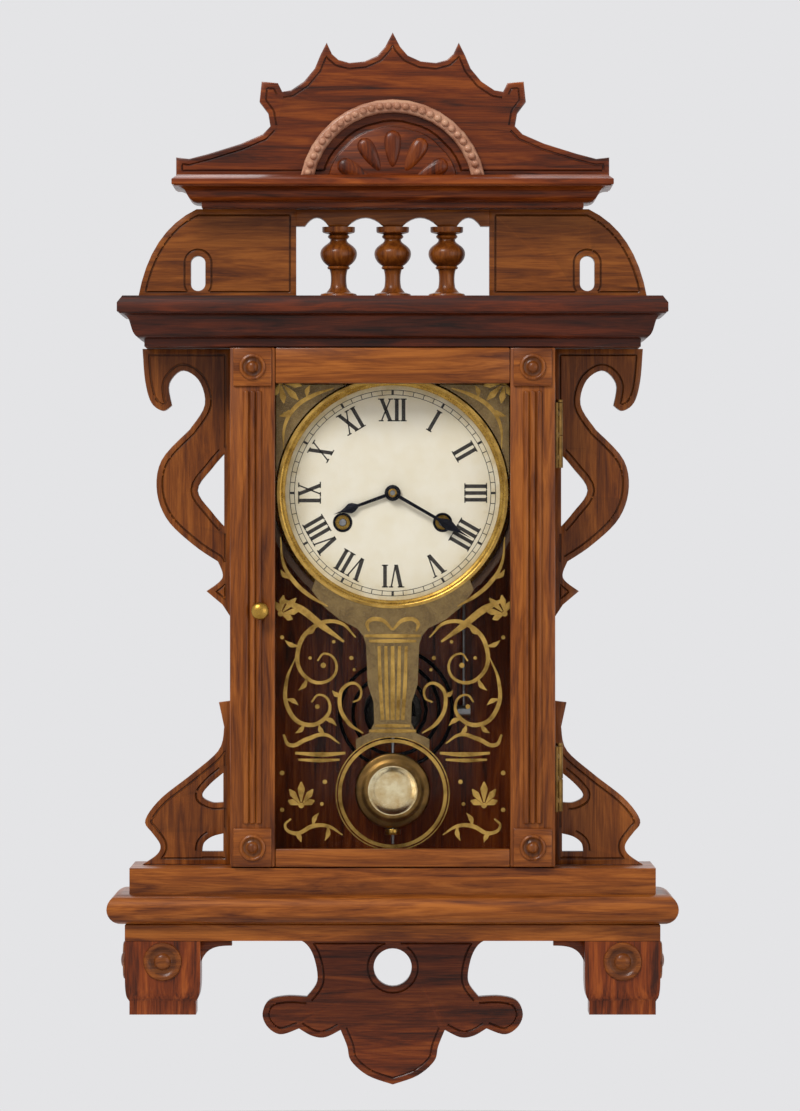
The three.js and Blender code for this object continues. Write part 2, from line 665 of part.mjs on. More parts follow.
// Carved fan: rounded petals that spread from the middle of the arch
function fanShape() {
  const centreZ = crestBottom - ARCH_SINK;
  const low = Math.asin((ARCH_SINK + FIT) / FAN_RADIUS);
  const spread = (Math.PI - 2 * low) / FAN_PETALS;
  const around = (radius, turn) => flat(radius * Math.cos(turn), centreZ + radius * Math.sin(turn));
  const shape = new THREE.Shape();
  const start = around(FAN_RADIUS, low);
  shape.moveTo(start.x, start.y);
  const valley = FAN_RADIUS * Math.cos(spread / 2);
  for (let petal = 0; petal < FAN_PETALS; petal += 1) {
    const end = around(FAN_RADIUS, low + (petal + 1) * spread);
    const swell = around(2 * FAN_RADIUS - valley + ARCH_WIDTH / 8, low + (petal + 0.5) * spread);
    shape.quadraticCurveTo(swell.x, swell.y, end.x, end.y);
  }
  return shape;
}

// Arch bead: a half ring whose feet stand on the upper cornice
function archShape() {
  const centreZ = crestBottom - ARCH_SINK;
  const inner = ARCH_RADIUS - ARCH_WIDTH;
  const foot = (radius) => Math.asin((ARCH_SINK + FIT) / radius);
  const shape = new THREE.Shape();
  shape.absarc(0, centreZ, ARCH_RADIUS, foot(ARCH_RADIUS), Math.PI - foot(ARCH_RADIUS));
  shape.absarc(0, centreZ, inner, Math.PI - foot(inner), foot(inner), true);
  return shape;
}

function addCrest() {
  const crest = new THREE.Group();
  const fan = board(fanShape(), fretFar - FIT, FAN_DEPTH + FIT);
  piece(crest, 'crest_board', join(board(crestShape(), FRET_NEAR, FRET_THICK), fan), darkWalnut());
  const arch = board(archShape(), fretFar + FIT, ARCH_DEPTH, 2 * FRET_STEPS);
  piece(crest, 'crest_arch_bead', arch, walnut());
  clock.add(crest);
}

// Ear: a scroll under the cornice, then a pierced lobe that tapers to a point, in shares of reach and drop
function earShape(side) {
  const reach = LOWER_CORNICE_HALF_WIDTH - EAR_INSET - sideSeat;
  const at = (out, down) => flat(side * (sideSeat + out * reach), caseTop - FIT - down * EAR_DROP);
  const shape = new THREE.Shape();
  shape.setFromPoints([at(0, 0), at(1, 0)]);
  shape.splineThru([at(0.97, 0.12), at(0.9, 0.2), at(0.77, 0.23), at(0.67, 0.21)]);
  shape.splineThru([at(0.7, 0.13), at(0.55, 0.08), at(0.36, 0.12), at(0.3, 0.21), at(0.47, 0.3)]);
  shape.splineThru([at(0.78, 0.41), at(0.84, 0.525), at(0.72, 0.635), at(0.42, 0.73), at(0.15, 0.79)]);
  shape.splineThru([at(0.1, 0.85), at(0.28, 0.9)]);
  shape.lineTo(at(0.1, 0.95).x, at(0.1, 0.95).y);
  shape.lineTo(at(0, 1).x, at(0, 1).y);
  const hole = new THREE.Path().setFromPoints([at(0.08, 0.66), at(0.08, 0.39)]);
  hole.splineThru([at(0.21, 0.44), at(0.38, 0.525), at(0.21, 0.61), at(0.08, 0.66)]);
  shape.holes.push(hole);
  return shape;
}

// Wing: a pierced scroll that spreads down to the base, in shares of reach and height
function wingShape(side) {
  const reach = BASE_HALF_WIDTH - BASE_STEP - WING_INSET - sideSeat;
  const foot = caseBottom + FIT;
  const at = (out, rise) => flat(side * (sideSeat + out * reach), foot + rise * WING_HEIGHT);
  const shape = new THREE.Shape();
  shape.setFromPoints([at(0, 0), at(1, 0)]);
  shape.splineThru([at(0.84, 0.06), at(0.8, 0.12), at(0.9, 0.2)]);
  shape.splineThru([at(0.97, 0.27), at(0.8, 0.4), at(0.45, 0.55), at(0.14, 0.7), at(0.08, 0.84)]);
  shape.lineTo(at(0.14, 0.99).x, at(0.14, 0.99).y);
  shape.lineTo(at(0, 1).x, at(0, 1).y);
  const upper = new THREE.Path().setFromPoints([at(0.09, 0.56), at(0.09, 0.38)]);
  upper.splineThru([at(0.22, 0.38), at(0.33, 0.42), at(0.24, 0.49), at(0.09, 0.56)]);
  const lower = new THREE.Path().setFromPoints([at(0.09, 0.19), at(0.09, 0.08), at(0.33, 0.08)]);
  lower.splineThru([at(0.31, 0.13), at(0.22, 0.17), at(0.09, 0.19)]);
  shape.holes.push(upper, lower);
  return shape;
}

// Apron: a flared and waisted body, two scalloped arms and a drop, in shares of half width and drop
function apronShape() {
  const at = (across, down) => flat(across * APRON_HALF_WIDTH, baseBottom - FIT - down * (APRON_DROP - FIT));
  const shape = mirrored([0.76, 0], [
    [[0.66, 0.05], [0.6, 0.15], [0.58, 0.3], [0.66, 0.405]],
    [[0.82, 0.4], [0.95, 0.43], [1, 0.52], [0.96, 0.61], [0.86, 0.66], [0.72, 0.62]],
    [[0.62, 0.67], [0.52, 0.68], [0.4, 0.63]],
    [[0.35, 0.74], [0.32, 0.84], [0.19, 0.94], [0, 1]],
  ], at);
  shape.holes.push(disc(flat(0, baseBottom - APRON_HOLE_DROP), APRON_HOLE_RADIUS));
  return shape;
}

function addFretwork() {
  const fretwork = new THREE.Group();
  for (const [name, side] of [['left', -1], ['right', 1]]) {
    piece(fretwork, `ear_${name}`, board(earShape(side), FRET_NEAR, FRET_THICK), walnut());
    piece(fretwork, `wing_${name}`, board(wingShape(side), FRET_NEAR, FRET_THICK), walnut());
  }
  piece(fretwork, 'apron', board(apronShape(), FRET_NEAR, FRET_THICK), darkWalnut());
  clock.add(fretwork);
}

// Door frame: stiles and rails with a rebate behind for the glass
function addDoor() {
  const door = new THREE.Group();
  const sightBottom = doorBottom + BOTTOM_RAIL;
  const sightTop = doorTop - TOP_RAIL;
  const rebate = box(
    -rebateX, rebateX, doorNear - FIT, glassFar + FIT, sightBottom - REBATE, sightTop + REBATE,
  );
  const latchBore = rod(SHAFT_RADIUS + RUN, doorNear - FIT, doorFar + FIT, latchX, LATCH_Z, THIN);
  const stileLeft = box(-caseHalfWidth, -openingX, doorNear, doorFar, doorBottom, doorTop);
  piece(door, 'door_stile_left', cut(stileLeft, rebate, latchBore), walnut());
  const stileRight = box(openingX, caseHalfWidth, doorNear, doorFar, doorBottom, doorTop);
  piece(door, 'door_stile_right', cut(stileRight, rebate), walnut());
  const railEnd = openingX - FIT;
  const railTop = box(-railEnd, railEnd, doorNear, doorFar, sightTop, doorTop);
  piece(door, 'door_rail_top', cut(railTop, rebate), walnut());
  const railBottom = box(-railEnd, railEnd, doorNear, doorFar, doorBottom, sightBottom);
  piece(door, 'door_rail_bottom', cut(railBottom, rebate), walnut());
  const glassX = rebateX - FIT;
  const glass = box(
    -glassX, glassX, glassNear, glassFar, sightBottom - REBATE + FIT, sightTop + REBATE - FIT,
  );
  piece(door, 'door_glass', glass, pane());
  clock.add(door);
}

const inOrder = (a, b) => (a < b ? [a, b] : [b, a]);

// Hinge leaf: the case leaf runs towards the wall with the lower knuckle, the door leaf to the front
function hingeLeaf(middle, onDoor) {
  const direction = onDoor ? 1 : -1;
  const half = LEAF_HEIGHT / 2;
  const edge = KNUCKLE_RADIUS + KNUCKLE_GAP;
  const [bottom, top] = inOrder(middle + direction * KNUCKLE_GAP / 2, middle + direction * half);
  const reach = onDoor ? DOOR_LEAF : CASE_LEAF;
  const [near, far] = inOrder(hingeDepth + direction * edge, hingeDepth + direction * reach);
  const [tabNear, tabFar] = inOrder(hingeDepth, hingeDepth + direction * (edge + LEAF_THICK));
  const leaf = box(sideSeat, sideSeat + LEAF_THICK, near, far, middle - half, middle + half);
  const tab = box(sideSeat, sideSeat + LEAF_THICK, tabNear, tabFar, bottom, top);
  const knuckle = post(KNUCKLE_RADIUS, bottom, top, hingeX, hingeDepth, THIN);
  const bore = post(PIN_RADIUS + RUN, bottom - FIT, top + FIT, hingeX, hingeDepth, THIN);
  return cut(join(leaf, tab, knuckle), bore);
}

function hingePin(middle) {
  const [bottom, top] = [middle - LEAF_HEIGHT / 2, middle + LEAF_HEIGHT / 2 + FIT];
  const head = KNUCKLE_RADIUS;
  return turnedUp([
    [0, bottom], [PIN_RADIUS, bottom], [PIN_RADIUS, top],
    [head, top], [head, top + PIN_HEAD], [0, top + PIN_HEAD],
  ], hingeX, hingeDepth, THIN);
}

function addHinges() {
  const hinges = new THREE.Group();
  for (const [name, middle] of [['upper', caseTop - HINGE_INSET], ['lower', caseBottom + HINGE_INSET]]) {
    piece(hinges, `hinge_case_leaf_${name}`, hingeLeaf(middle, false), brass());
    piece(hinges, `hinge_door_leaf_${name}`, hingeLeaf(middle, true), brass());
    piece(hinges, `hinge_pin_${name}`, hingePin(middle), brass());
  }
  clock.add(hinges);
}

// Turn latch: knob, shaft and tongue in one piece; its keeper is an angle plate on the left side board
function addLatch() {
  const latch = new THREE.Group();
  const lipFar = doorNear - DOOR_CLEAR;
  const lipNear = lipFar - KEEPER_THICK;
  const tongueFar = lipNear - RUN;
  const tongueNear = tongueFar - TONGUE_THICK;
  const knobNear = doorFar + FIT;
  const at = (radius, along) => [radius * KNOB_RADIUS, knobNear + along * KNOB_LENGTH];
  const knob = turnedAcross([
    [0, tongueNear], [SHAFT_RADIUS, tongueNear], [SHAFT_RADIUS, knobNear], at(0.8, 0), at(0.8, 0.12),
    at(0.45, 0.2), at(0.45, 0.38), at(0.85, 0.5), at(1, 0.68), at(0.75, 0.9), at(0, 1),
  ], latchX, LATCH_Z, TURNED);
  const tongue = box(
    latchX - TONGUE_WIDTH / 2, latchX + TONGUE_WIDTH / 2, tongueNear, tongueFar,
    LATCH_Z - TONGUE_WIDTH / 2, LATCH_Z + TONGUE_LENGTH,
  );
  piece(latch, 'latch_knob', join(knob, tongue), brass());
  const [low, high] = [LATCH_Z - KEEPER_HEIGHT / 2, LATCH_Z + KEEPER_HEIGHT / 2];
  const seat = box(FIT - innerFace, -keeperFace, tongueNear - TONGUE_THICK, lipFar, low, high);
  const lip = box(FIT - innerFace, KEEPER_LIP - keeperFace, lipNear, lipFar, low, high);
  piece(latch, 'latch_keeper', join(seat, lip), brass());
  clock.add(latch);
}

// Dial pan with its turned-back rim, and the bezel ring in front of it
function addDial() {
  const dial = new THREE.Group();
  const rimNear = dialNear - DIAL_RIM;
  const inside = DIAL_RADIUS - DIAL_THICK;
  const pan = turnedAcross([
    [0, dialNear], [inside, dialNear], [inside, rimNear],
    [DIAL_RADIUS, rimNear], [DIAL_RADIUS, dialFar], [0, dialFar],
  ], 0, 0, ROUND);
  const hole = (place, radius) => rod(radius, dialNear - FIT, dialFar + FIT, place.x, place.y, TURNED);
  const holes = [hole(centre, DIAL_HOLE), hole(timeWinder, WINDING_HOLE), hole(strikeWinder, WINDING_HOLE)];
  piece(dial, 'dial_pan', cut(pan, ...holes), paper());
  const at = (across, along) => [BEZEL_INNER + across * BEZEL_WIDTH, bezelNear + along * BEZEL_DEPTH];
  const bezel = turnedAcross([at(0, 0), at(1, 0), at(1, 0.5), at(0.6, 1), at(0, 0.4), at(0, 0)], 0, 0, ROUND);
  piece(dial, 'dial_bezel', bezel, brass());
  clock.add(dial);
}

// Hand pointing to twelve: a slender stem, a spade and a point
function hand(length, near, bore, boss) {
  const half = (share) => share * HAND_WIDTH / 2;
  const right = [
    [half(0.35), 0], [half(0.3), 0.58], [half(0.9), 0.66],
    [half(1), 0.72], [half(0.5), 0.8], [half(0.2), 0.86],
  ].map(([x, share]) => flat(x, share * length));
  const left = right.map(({ x, y }) => flat(-x, y)).reverse();
  const blade = board(new THREE.Shape([...right, flat(0, length), ...left]), near, HAND_THICK);
  const hub = rod(boss, near, near + HAND_THICK, 0, 0, TURNED);
  return cut(join(blade, hub), rod(bore, near - FIT, near + HAND_THICK + FIT, 0, 0, TURNED));
}

const pipeInner = CENTRE_ARBOR_RADIUS + RUN;
const pipeOuter = pipeInner + PIPE_WALL;

function addHands() {
  const hands = new THREE.Group();
  const hour = hand(HOUR_HAND_LENGTH, hourHandNear, pipeOuter + FIT, pipeOuter + 2 * PIPE_WALL);
  piece(hands, 'hour_hand', hour, bluedSteel()).rotation.y = radians(HOUR_HAND_TURN);
  const minute = hand(MINUTE_HAND_LENGTH, minuteHandNear, CENTRE_ARBOR_RADIUS + FIT, pipeOuter + PIPE_WALL);
  piece(hands, 'minute_hand', minute, bluedSteel()).rotation.y = radians(MINUTE_HAND_TURN);
  const bore = CENTRE_ARBOR_RADIUS + FIT;
  const nut = turnedAcross([
    [bore, nutNear], [NUT_RADIUS, nutNear],
    [0.75 * NUT_RADIUS, arborFar - FIT], [bore, arborFar - FIT], [bore, nutNear],
  ], 0, 0, TURNED);
  piece(hands, 'hand_nut', nut, brass());
  clock.add(hands);
}

// Toothed outline: straight-sided teeth with room between the flanks; "turn" is where one tooth points
const ADDENDUM = 0.8; // tooth above the pitch circle, in modules
const DEDENDUM = 1.15; // tooth below it
const TIP_SHARE = 0.07; // half width of the tip, in pitches
const ROOT_SHARE = 0.25; // half width of the root
function gear(place, teeth, toothSize, turn, near, far) {
  const tip = toothSize * (teeth / 2 + ADDENDUM);
  const root = toothSize * (teeth / 2 - DEDENDUM);
  const corners = [[-ROOT_SHARE, root], [-TIP_SHARE, tip], [TIP_SHARE, tip], [ROOT_SHARE, root]];
  const points = [];
  for (let tooth = 0; tooth < teeth; tooth += 1) {
    for (const [share, radius] of corners) {
      const angle = turn + 2 * Math.PI * (tooth + share) / teeth;
      points.push(flat(place.x + radius * Math.cos(angle), place.y + radius * Math.sin(angle)));
    }
  }
  return board(new THREE.Shape(points), near, far - near);
}

// A pair that meshes: the first gear points a tooth at the second, which turns a gap towards it.
function meshTurns(from, to, secondTeeth) {
  const turn = Math.atan2(to.y - from.y, to.x - from.x);
  return [turn, turn + Math.PI + Math.PI / secondTeeth];
}

// Motion work behind the dial: cannon pinion, minute wheel and hour wheel give one to twelve
function addMotionWork() {
  const motion = new THREE.Group();
  const cannonSize = 2 * MOTION_CENTRES / (CANNON_TEETH + MINUTE_TEETH);
  const [cannonTurn, minuteTurn] = meshTurns(centre, stud, MINUTE_TEETH);
  const minuteNear = frontPlateNear + PLATE_THICK / 2 + FIT;
  const cannon = gear(centre, CANNON_TEETH, cannonSize, cannonTurn, motionNear, motionFar);
  const shaft = rod(CENTRE_ARBOR_RADIUS, minuteNear, arborFar, 0, 0, THIN);
  piece(motion, 'minute_arbor', join(shaft, cannon), steel());

  const hourSize = 2 * MOTION_CENTRES / (MINUTE_PINION_TEETH + HOUR_TEETH);
  const [pinionTurn, hourTurn] = meshTurns(stud, centre, HOUR_TEETH);
  const wheel = gear(stud, MINUTE_TEETH, cannonSize, minuteTurn, motionNear, motionFar);
  const pinion = gear(stud, MINUTE_PINION_TEETH, hourSize, pinionTurn, motionNear, hourFar);
  const studBore = rod(STUD_RADIUS + RUN, motionNear - FIT, hourFar + FIT, stud.x, stud.y, THIN);
  piece(motion, 'minute_wheel', cut(join(wheel, pinion), studBore), brass());

  const hourWheel = gear(centre, HOUR_TEETH, hourSize, hourTurn, hourNear, hourFar);
  const pipe = rod(pipeOuter, hourNear, hourHandFar + FIT, 0, 0, TURNED);
  const pipeBore = rod(pipeInner, hourNear - FIT, hourHandFar + 2 * FIT, 0, 0, TURNED);
  piece(motion, 'hour_wheel', cut(join(hourWheel, pipe), pipeBore), brass());
  clock.add(motion);
}

// Going train: great wheel, centre wheel, third wheel and escape wheel
function escapeWheel() {
  const points = [];
  for (let tooth = 0; tooth < ESCAPE_TEETH; tooth += 1) {
    for (const [share, radius] of [[0, ESCAPE_RADIUS], [0.3, ESCAPE_RADIUS - ESCAPE_TOOTH]]) {
      const angle = 2 * Math.PI * (tooth + share) / ESCAPE_TEETH;
      points.push(flat(escape.x + radius * Math.cos(angle), escape.y + radius * Math.sin(angle)));
    }
  }
  return board(new THREE.Shape(points), escapeNear, WHEEL_THICK);
}

function addGoingTrain() {
  const train = new THREE.Group();
  const overlap = PINION_THICK - WHEEL_THICK; // pinions are longer than the wheels they drive
  const greatSize = 2 * timeWinder.length() / (GREAT_TEETH + CENTRE_PINION_TEETH);
  const [centrePinionTurn, greatTurn] = meshTurns(centre, timeWinder, GREAT_TEETH);
  const great = gear(timeWinder, GREAT_TEETH, greatSize, greatTurn, greatNear, greatFar);
  const greatBore = rod(WINDER_RADIUS + RUN, greatNear - FIT, greatFar + FIT, WINDER_X, WINDER_Z, TURNED);
  piece(train, 'time_great_wheel', cut(great, greatBore), brass());

  const [centreTurn, thirdPinionTurn] = meshTurns(centre, third, THIRD_PINION_TEETH);
  const centreWheel = join(
    rod(CENTRE_ARBOR_RADIUS, pivotNear, frontPlateNear + PLATE_THICK / 2, 0, 0, THIN),
    gear(
      centre, CENTRE_PINION_TEETH, greatSize, centrePinionTurn,
      greatNear - overlap / 2, greatFar + overlap / 2,
    ),
    gear(centre, CENTRE_TEETH, CENTRE_MODULE, centreTurn, centreNear, centreFar),
  );
  piece(train, 'centre_wheel', centreWheel, brass());

  const [thirdTurn, escapePinionTurn] = meshTurns(third, escape, ESCAPE_PINION_TEETH);
  const thirdFar = thirdNear + WHEEL_THICK;
  const thirdWheel = join(
    rod(PIVOT_RADIUS, pivotNear, pivotFar, third.x, third.y, THIN),
    gear(
      third, THIRD_PINION_TEETH, CENTRE_MODULE, thirdPinionTurn,
      centreNear - overlap / 2, centreFar + overlap / 2,
    ),
    gear(third, THIRD_TEETH, THIRD_MODULE, thirdTurn, thirdNear, thirdFar),
  );
  piece(train, 'third_wheel', thirdWheel, brass());

  const escapeArbor = join(
    rod(PIVOT_RADIUS, pivotNear, pivotFar, escape.x, escape.y, THIN),
    gear(
      escape, ESCAPE_PINION_TEETH, THIRD_MODULE, escapePinionTurn,
      thirdNear - overlap / 2, thirdFar + overlap / 2,
    ),
    escapeWheel(),
  );
  piece(train, 'escape_wheel', escapeArbor, brass());
  clock.add(train);
}

// Mainspring: a flat strip wound round its arbor between the plates
function mainspring(place) {
  const start = WINDER_RADIUS + RUN + SPRING_THICK / 2;
  const steps = SPRING_TURNS * 4 * FRET_STEPS;
  const edge = (offset) => Array.from({ length: steps + 1 }, (_, i) => {
    const turns = i / steps * SPRING_TURNS;
    const radius = start + SPRING_PITCH * turns + offset;
    const angle = 2 * Math.PI * turns;
    return flat(place.x + radius * Math.cos(angle), place.y + radius * Math.sin(angle));
  });
  const strip = new THREE.Shape([...edge(SPRING_THICK / 2), ...edge(-SPRING_THICK / 2).reverse()]);
  const near = greatFar + LAYER_GAP;
  return board(strip, near, frontPlateNear - LAYER_GAP - near);
}

function addWinding() {
  const winding = new THREE.Group();
  for (const [name, place] of [['time', timeWinder], ['strike', strikeWinder]]) {
    piece(winding, `${name}_arbor`, rod(WINDER_RADIUS, pivotNear, dialFar, place.x, place.y, THIN), steel());
    piece(winding, `${name}_mainspring`, mainspring(place), bluedSteel());
  }
  clock.add(winding);
}

// Suspension cock: a bracket on the back plate, open for the crutch and for the suspension strip
const stripRoom = STRIP_WIDTH / 2 + RUN;
const cockTop = suspensionZ - PIN_CROSS - FIT;
function suspensionCock() {
  const inside = COCK_HALF_WIDTH - COCK_WALL;
  const [bottom, top] = [cockTop - COCK_HEIGHT, cockTop];
  const slot = (near, far) => box(-inside, inside, near, far, bottom - FIT, top + FIT);
  const block = box(
    -COCK_HALF_WIDTH, COCK_HALF_WIDTH,
    pendulumDepth - stripRoom - COCK_WALL, rearPlateNear + FIT, bottom, top,
  );
  return cut(
    block,
    slot(pendulumDepth - stripRoom, pendulumDepth + stripRoom),
    slot(pendulumDepth + stripRoom + COCK_WALL, rearPlateNear),
  );
}

// Plates: the back one carries pillars, feet and the cock, the front one the dial feet and the stud
function addPlates() {
  const plates = new THREE.Group();
  const plate = (near) => board(
    rectangle(-PLATE_HALF_WIDTH, PLATE_HALF_WIDTH, PLATE_BOTTOM, plateTop), near, PLATE_THICK,
  );
  const corners = (halfWidth, inset) => [-halfWidth, halfWidth].flatMap(
    (x) => [flat(x, plateTop - inset), flat(x, PLATE_BOTTOM + inset)],
  );
  const holes = (near, list) => list.map(
    ([place, radius]) => rod(radius + RUN, near - FIT, near + PLATE_THICK + FIT, place.x, place.y, THIN),
  );
  const shared = [
    [centre, CENTRE_ARBOR_RADIUS], [third, PIVOT_RADIUS], [escape, PIVOT_RADIUS],
    [verge, VERGE_ARBOR_RADIUS], [timeWinder, WINDER_RADIUS], [strikeWinder, WINDER_RADIUS],
  ];
  const posts = (places, radius, near, far) => places.map(({ x, y }) => rod(radius, near, far, x, y, THIN));
  const pillars = posts(
    corners(PLATE_HALF_WIDTH - POST_MARGIN, POST_MARGIN), PILLAR_RADIUS,
    rearPlateNear + FIT, frontPlateNear - FIT,
  );
  const feet = posts(corners(FOOT_X, POST_MARGIN), FOOT_RADIUS, BACK_THICK + FIT, rearPlateNear + FIT);
  const rear = cut(
    join(plate(rearPlateNear), ...pillars, ...feet),
    ...holes(rearPlateNear, [...shared, [hammer, VERGE_ARBOR_RADIUS]]),
  );
  piece(plates, 'movement_back_plate', join(rear, suspensionCock()), brass());

  const dialFeet = posts(
    corners(PLATE_HALF_WIDTH - DIAL_FOOT_INSET, DIAL_FOOT_INSET), PILLAR_RADIUS,
    frontPlateNear + FIT, dialNear - FIT,
  );
  const studPost = rod(STUD_RADIUS, frontPlateNear + FIT, hourFar + LAYER_GAP, stud.x, stud.y, THIN);
  const front = cut(join(plate(frontPlateNear), ...dialFeet, studPost), ...holes(frontPlateNear, shared));
  piece(plates, 'movement_front_plate', front, brass());
  clock.add(plates);
}

// Verge: an anchor over the escape wheel, its arbor, and the crutch whose fork takes the pendulum rod
function vergeCrutch() {
  const reach = ESCAPE_RADIUS + PALLET_CLEAR;
  const pallet = flat(
    reach * Math.sin(radians(PALLET_TURN)), escape.y + reach * Math.cos(radians(PALLET_TURN)),
  );
  const half = (side) => [
    flat(side * (pallet.x + PALLET_CLEAR), pallet.y + 2 * PALLET_CLEAR),
    flat(side * pallet.x, pallet.y),
    flat(side * (pallet.x - PALLET_CLEAR), pallet.y + 1.6 * PALLET_CLEAR),
  ];
  const crown = flat(0, suspensionZ + VERGE_RISE / 2);
  const crotch = flat(0, suspensionZ - VERGE_RISE / 3);
  const anchor = board(
    new THREE.Shape([crown, ...half(1), crotch, ...half(-1).reverse()]), escapeNear, WHEEL_THICK,
  );
  const crutchFar = rearPlateNear - LAYER_GAP;
  const crutchNear = crutchFar - CRUTCH_THICK;
  const forkBottom = suspensionZ - CRUTCH_LENGTH;
  const forkTop = forkBottom + FORK_HEIGHT;
  const inside = ROD_RADIUS + FORK_CLEAR;
  const outside = inside + CRUTCH_THICK;
  const forkNear = pendulumDepth - 2 * ROD_RADIUS;
  return join(
    anchor,
    rod(VERGE_ARBOR_RADIUS, crutchNear, pivotFar, 0, suspensionZ, THIN),
    box(-CRUTCH_HALF_WIDTH, CRUTCH_HALF_WIDTH, crutchNear, crutchFar, forkBottom, suspensionZ),
    box(-outside, outside, crutchNear, crutchFar, forkBottom, forkTop),
    box(-outside, -inside, forkNear, crutchFar, forkBottom, forkTop),
    box(inside, outside, forkNear, crutchFar, forkBottom, forkTop),
  );
}

// Pendulum rod: suspension pin, spring strip, brass chop and rod
function pendulumRod() {
  const stripBottom = suspensionZ - STRIP_LENGTH;
  const chopHalfWidth = 2 * ROD_RADIUS;
  const pinEnd = stripRoom + COCK_WALL;
  return join(
    rod(PIN_CROSS, pendulumDepth - pinEnd, pendulumDepth + pinEnd, 0, suspensionZ, THIN),
    box(
      -STRIP_THICK / 2, STRIP_THICK / 2, pendulumDepth - STRIP_WIDTH / 2, pendulumDepth + STRIP_WIDTH / 2,
      stripBottom - chopHalfWidth, suspensionZ,
    ),
    box(
      -chopHalfWidth, chopHalfWidth, pendulumDepth - stripRoom, pendulumDepth + stripRoom,
      stripBottom - 2 * chopHalfWidth, stripBottom,
    ),
    post(ROD_RADIUS, rodEnd, stripBottom - chopHalfWidth, 0, pendulumDepth, THIN),
  );
}

// Bob: a lens with a thick edge, bored for the rod
function pendulumBob() {
  const rim = 0.9; // share of the quarter turn that the lens's face spans
  const face = Array.from({ length: FRET_STEPS + 1 }, (_, i) => {
    const angle = i / FRET_STEPS * rim * Math.PI / 2;
    const rise = BOB_EDGE + (BOB_HALF_THICK - BOB_EDGE) * Math.cos(angle);
    return [BOB_RADIUS * Math.sin(angle) / Math.sin(rim * Math.PI / 2), rise];
  });
  const front = face.map(([radius, rise]) => [radius, pendulumDepth + rise]);
  const back = face.map(([radius, rise]) => [radius, pendulumDepth - rise]).reverse();
  const lens = turnedAcross([...front, ...back], 0, bobZ, ROUND);
  const bore = post(
    ROD_RADIUS + RUN, bobZ - BOB_RADIUS - FIT, bobZ + BOB_RADIUS + FIT, 0, pendulumDepth, THIN,
  );
  return cut(lens, bore);
}

function addPendulum() {
  const pendulum = new THREE.Group();
  piece(pendulum, 'verge_crutch', vergeCrutch(), steel());
  piece(pendulum, 'pendulum_rod', pendulumRod(), steel());
  piece(pendulum, 'pendulum_bob', pendulumBob(), brass());
  const bore = ROD_RADIUS + RUN;
  const nutBottom = nutTop - RATING_NUT_HEIGHT;
  const nut = turnedUp([
    [bore, nutBottom], [RATING_NUT_RADIUS, nutBottom],
    [RATING_NUT_RADIUS, nutTop], [bore, nutTop], [bore, nutBottom],
  ], 0, pendulumDepth, TURNED);
  piece(pendulum, 'rating_nut', nut, brass());
  clock.add(pendulum);
}

// Gong wire: a straight lead up from its post, then a flat spiral
class GongSpiral extends THREE.Curve {
  getPoint(t) {
    const lead = GONG_WIRE / GONG_INNER;
    const angle = t * (2 * Math.PI * (GONG_TURNS + GONG_TAIL) + lead) - lead;
    if (angle < 0) return new THREE.Vector3(GONG_INNER, -gongDepth, GONG_Z + angle * GONG_INNER);
    const radius = GONG_INNER + GONG_PITCH * angle / (2 * Math.PI);
    return new THREE.Vector3(radius * Math.cos(angle), -gongDepth, GONG_Z + radius * Math.sin(angle));
  }
}

const LOOP_STEPS = 24;
const WIRE_SIDES = 6;

// Least gap between two turns of the gong, measured on points of its middle line
function gongSelfGap(points) {
  let least = Infinity;
  for (let i = 0; i < points.length; i += 1) {
    for (let j = i + LOOP_STEPS / 2; j < points.length; j += 1) {
      least = Math.min(least, points[i].distanceTo(points[j]) - GONG_WIRE);
    }
  }
  return least;
}

function gongCoil() {
  const spiral = new GongSpiral();
  const steps = Math.round(LOOP_STEPS * (GONG_TURNS + GONG_TAIL));
  console.log(`gong: least gap between turns ${gongSelfGap(spiral.getPoints(2 * steps)).toFixed(2)} mm`);
  const section = new THREE.Shape(Array.from({ length: WIRE_SIDES }, (_, i) => {
    const angle = 2 * Math.PI * i / WIRE_SIDES;
    return flat(GONG_WIRE / 2 * Math.cos(angle), GONG_WIRE / 2 * Math.sin(angle));
  }));
  return solid(new THREE.ExtrudeGeometry(section, { steps, extrudePath: spiral, bevelEnabled: false }));
}

function addStrike() {
  const strike = new THREE.Group();
  const baseNear = BACK_THICK + FIT;
  const postTop = GONG_Z - GONG_WIRE - FIT;
  const gongPost = box(
    GONG_INNER - GONG_POST_HALF_WIDTH, GONG_INNER + GONG_POST_HALF_WIDTH,
    baseNear, gongDepth + GONG_POST_HALF_WIDTH, postTop - GONG_POST_HEIGHT, postTop,
  );
  const foot = rod(GONG_BASE_RADIUS, baseNear, baseNear + GONG_BASE_THICK, 0, GONG_Z, TURNED);
  piece(strike, 'gong_base', join(foot, gongPost), iron());
  piece(strike, 'gong_coil', gongCoil(), bluedSteel());

  const head = new THREE.CylinderGeometry(HAMMER_HEAD_RADIUS, HAMMER_HEAD_RADIUS, HAMMER_HEAD_LENGTH, TURNED);
  head.rotateZ(Math.PI / 2);
  head.translate(hammerX, -gongDepth, GONG_Z);
  const arm = post(HAMMER_ARM_RADIUS, GONG_Z, HAMMER_Z, hammerX, gongDepth, THIN);
  const tail = gongDepth - 2 * HAMMER_ARM_RADIUS;
  const pivot = rod(VERGE_ARBOR_RADIUS, tail, rearPlateFar - PIVOT_SINK, hammerX, HAMMER_Z, THIN);
  piece(strike, 'strike_hammer', join(solid(head), arm, pivot), steel());
  clock.add(strike);
}

addCarcass();
addMouldings();
addGallery();
addCrest();
addFretwork();
addDoor();
addHinges();
addLatch();
addDial();
addHands();
addMotionWork();
addGoingTrain();
addWinding();
addPlates();
addPendulum();
addStrike();

export default clock;
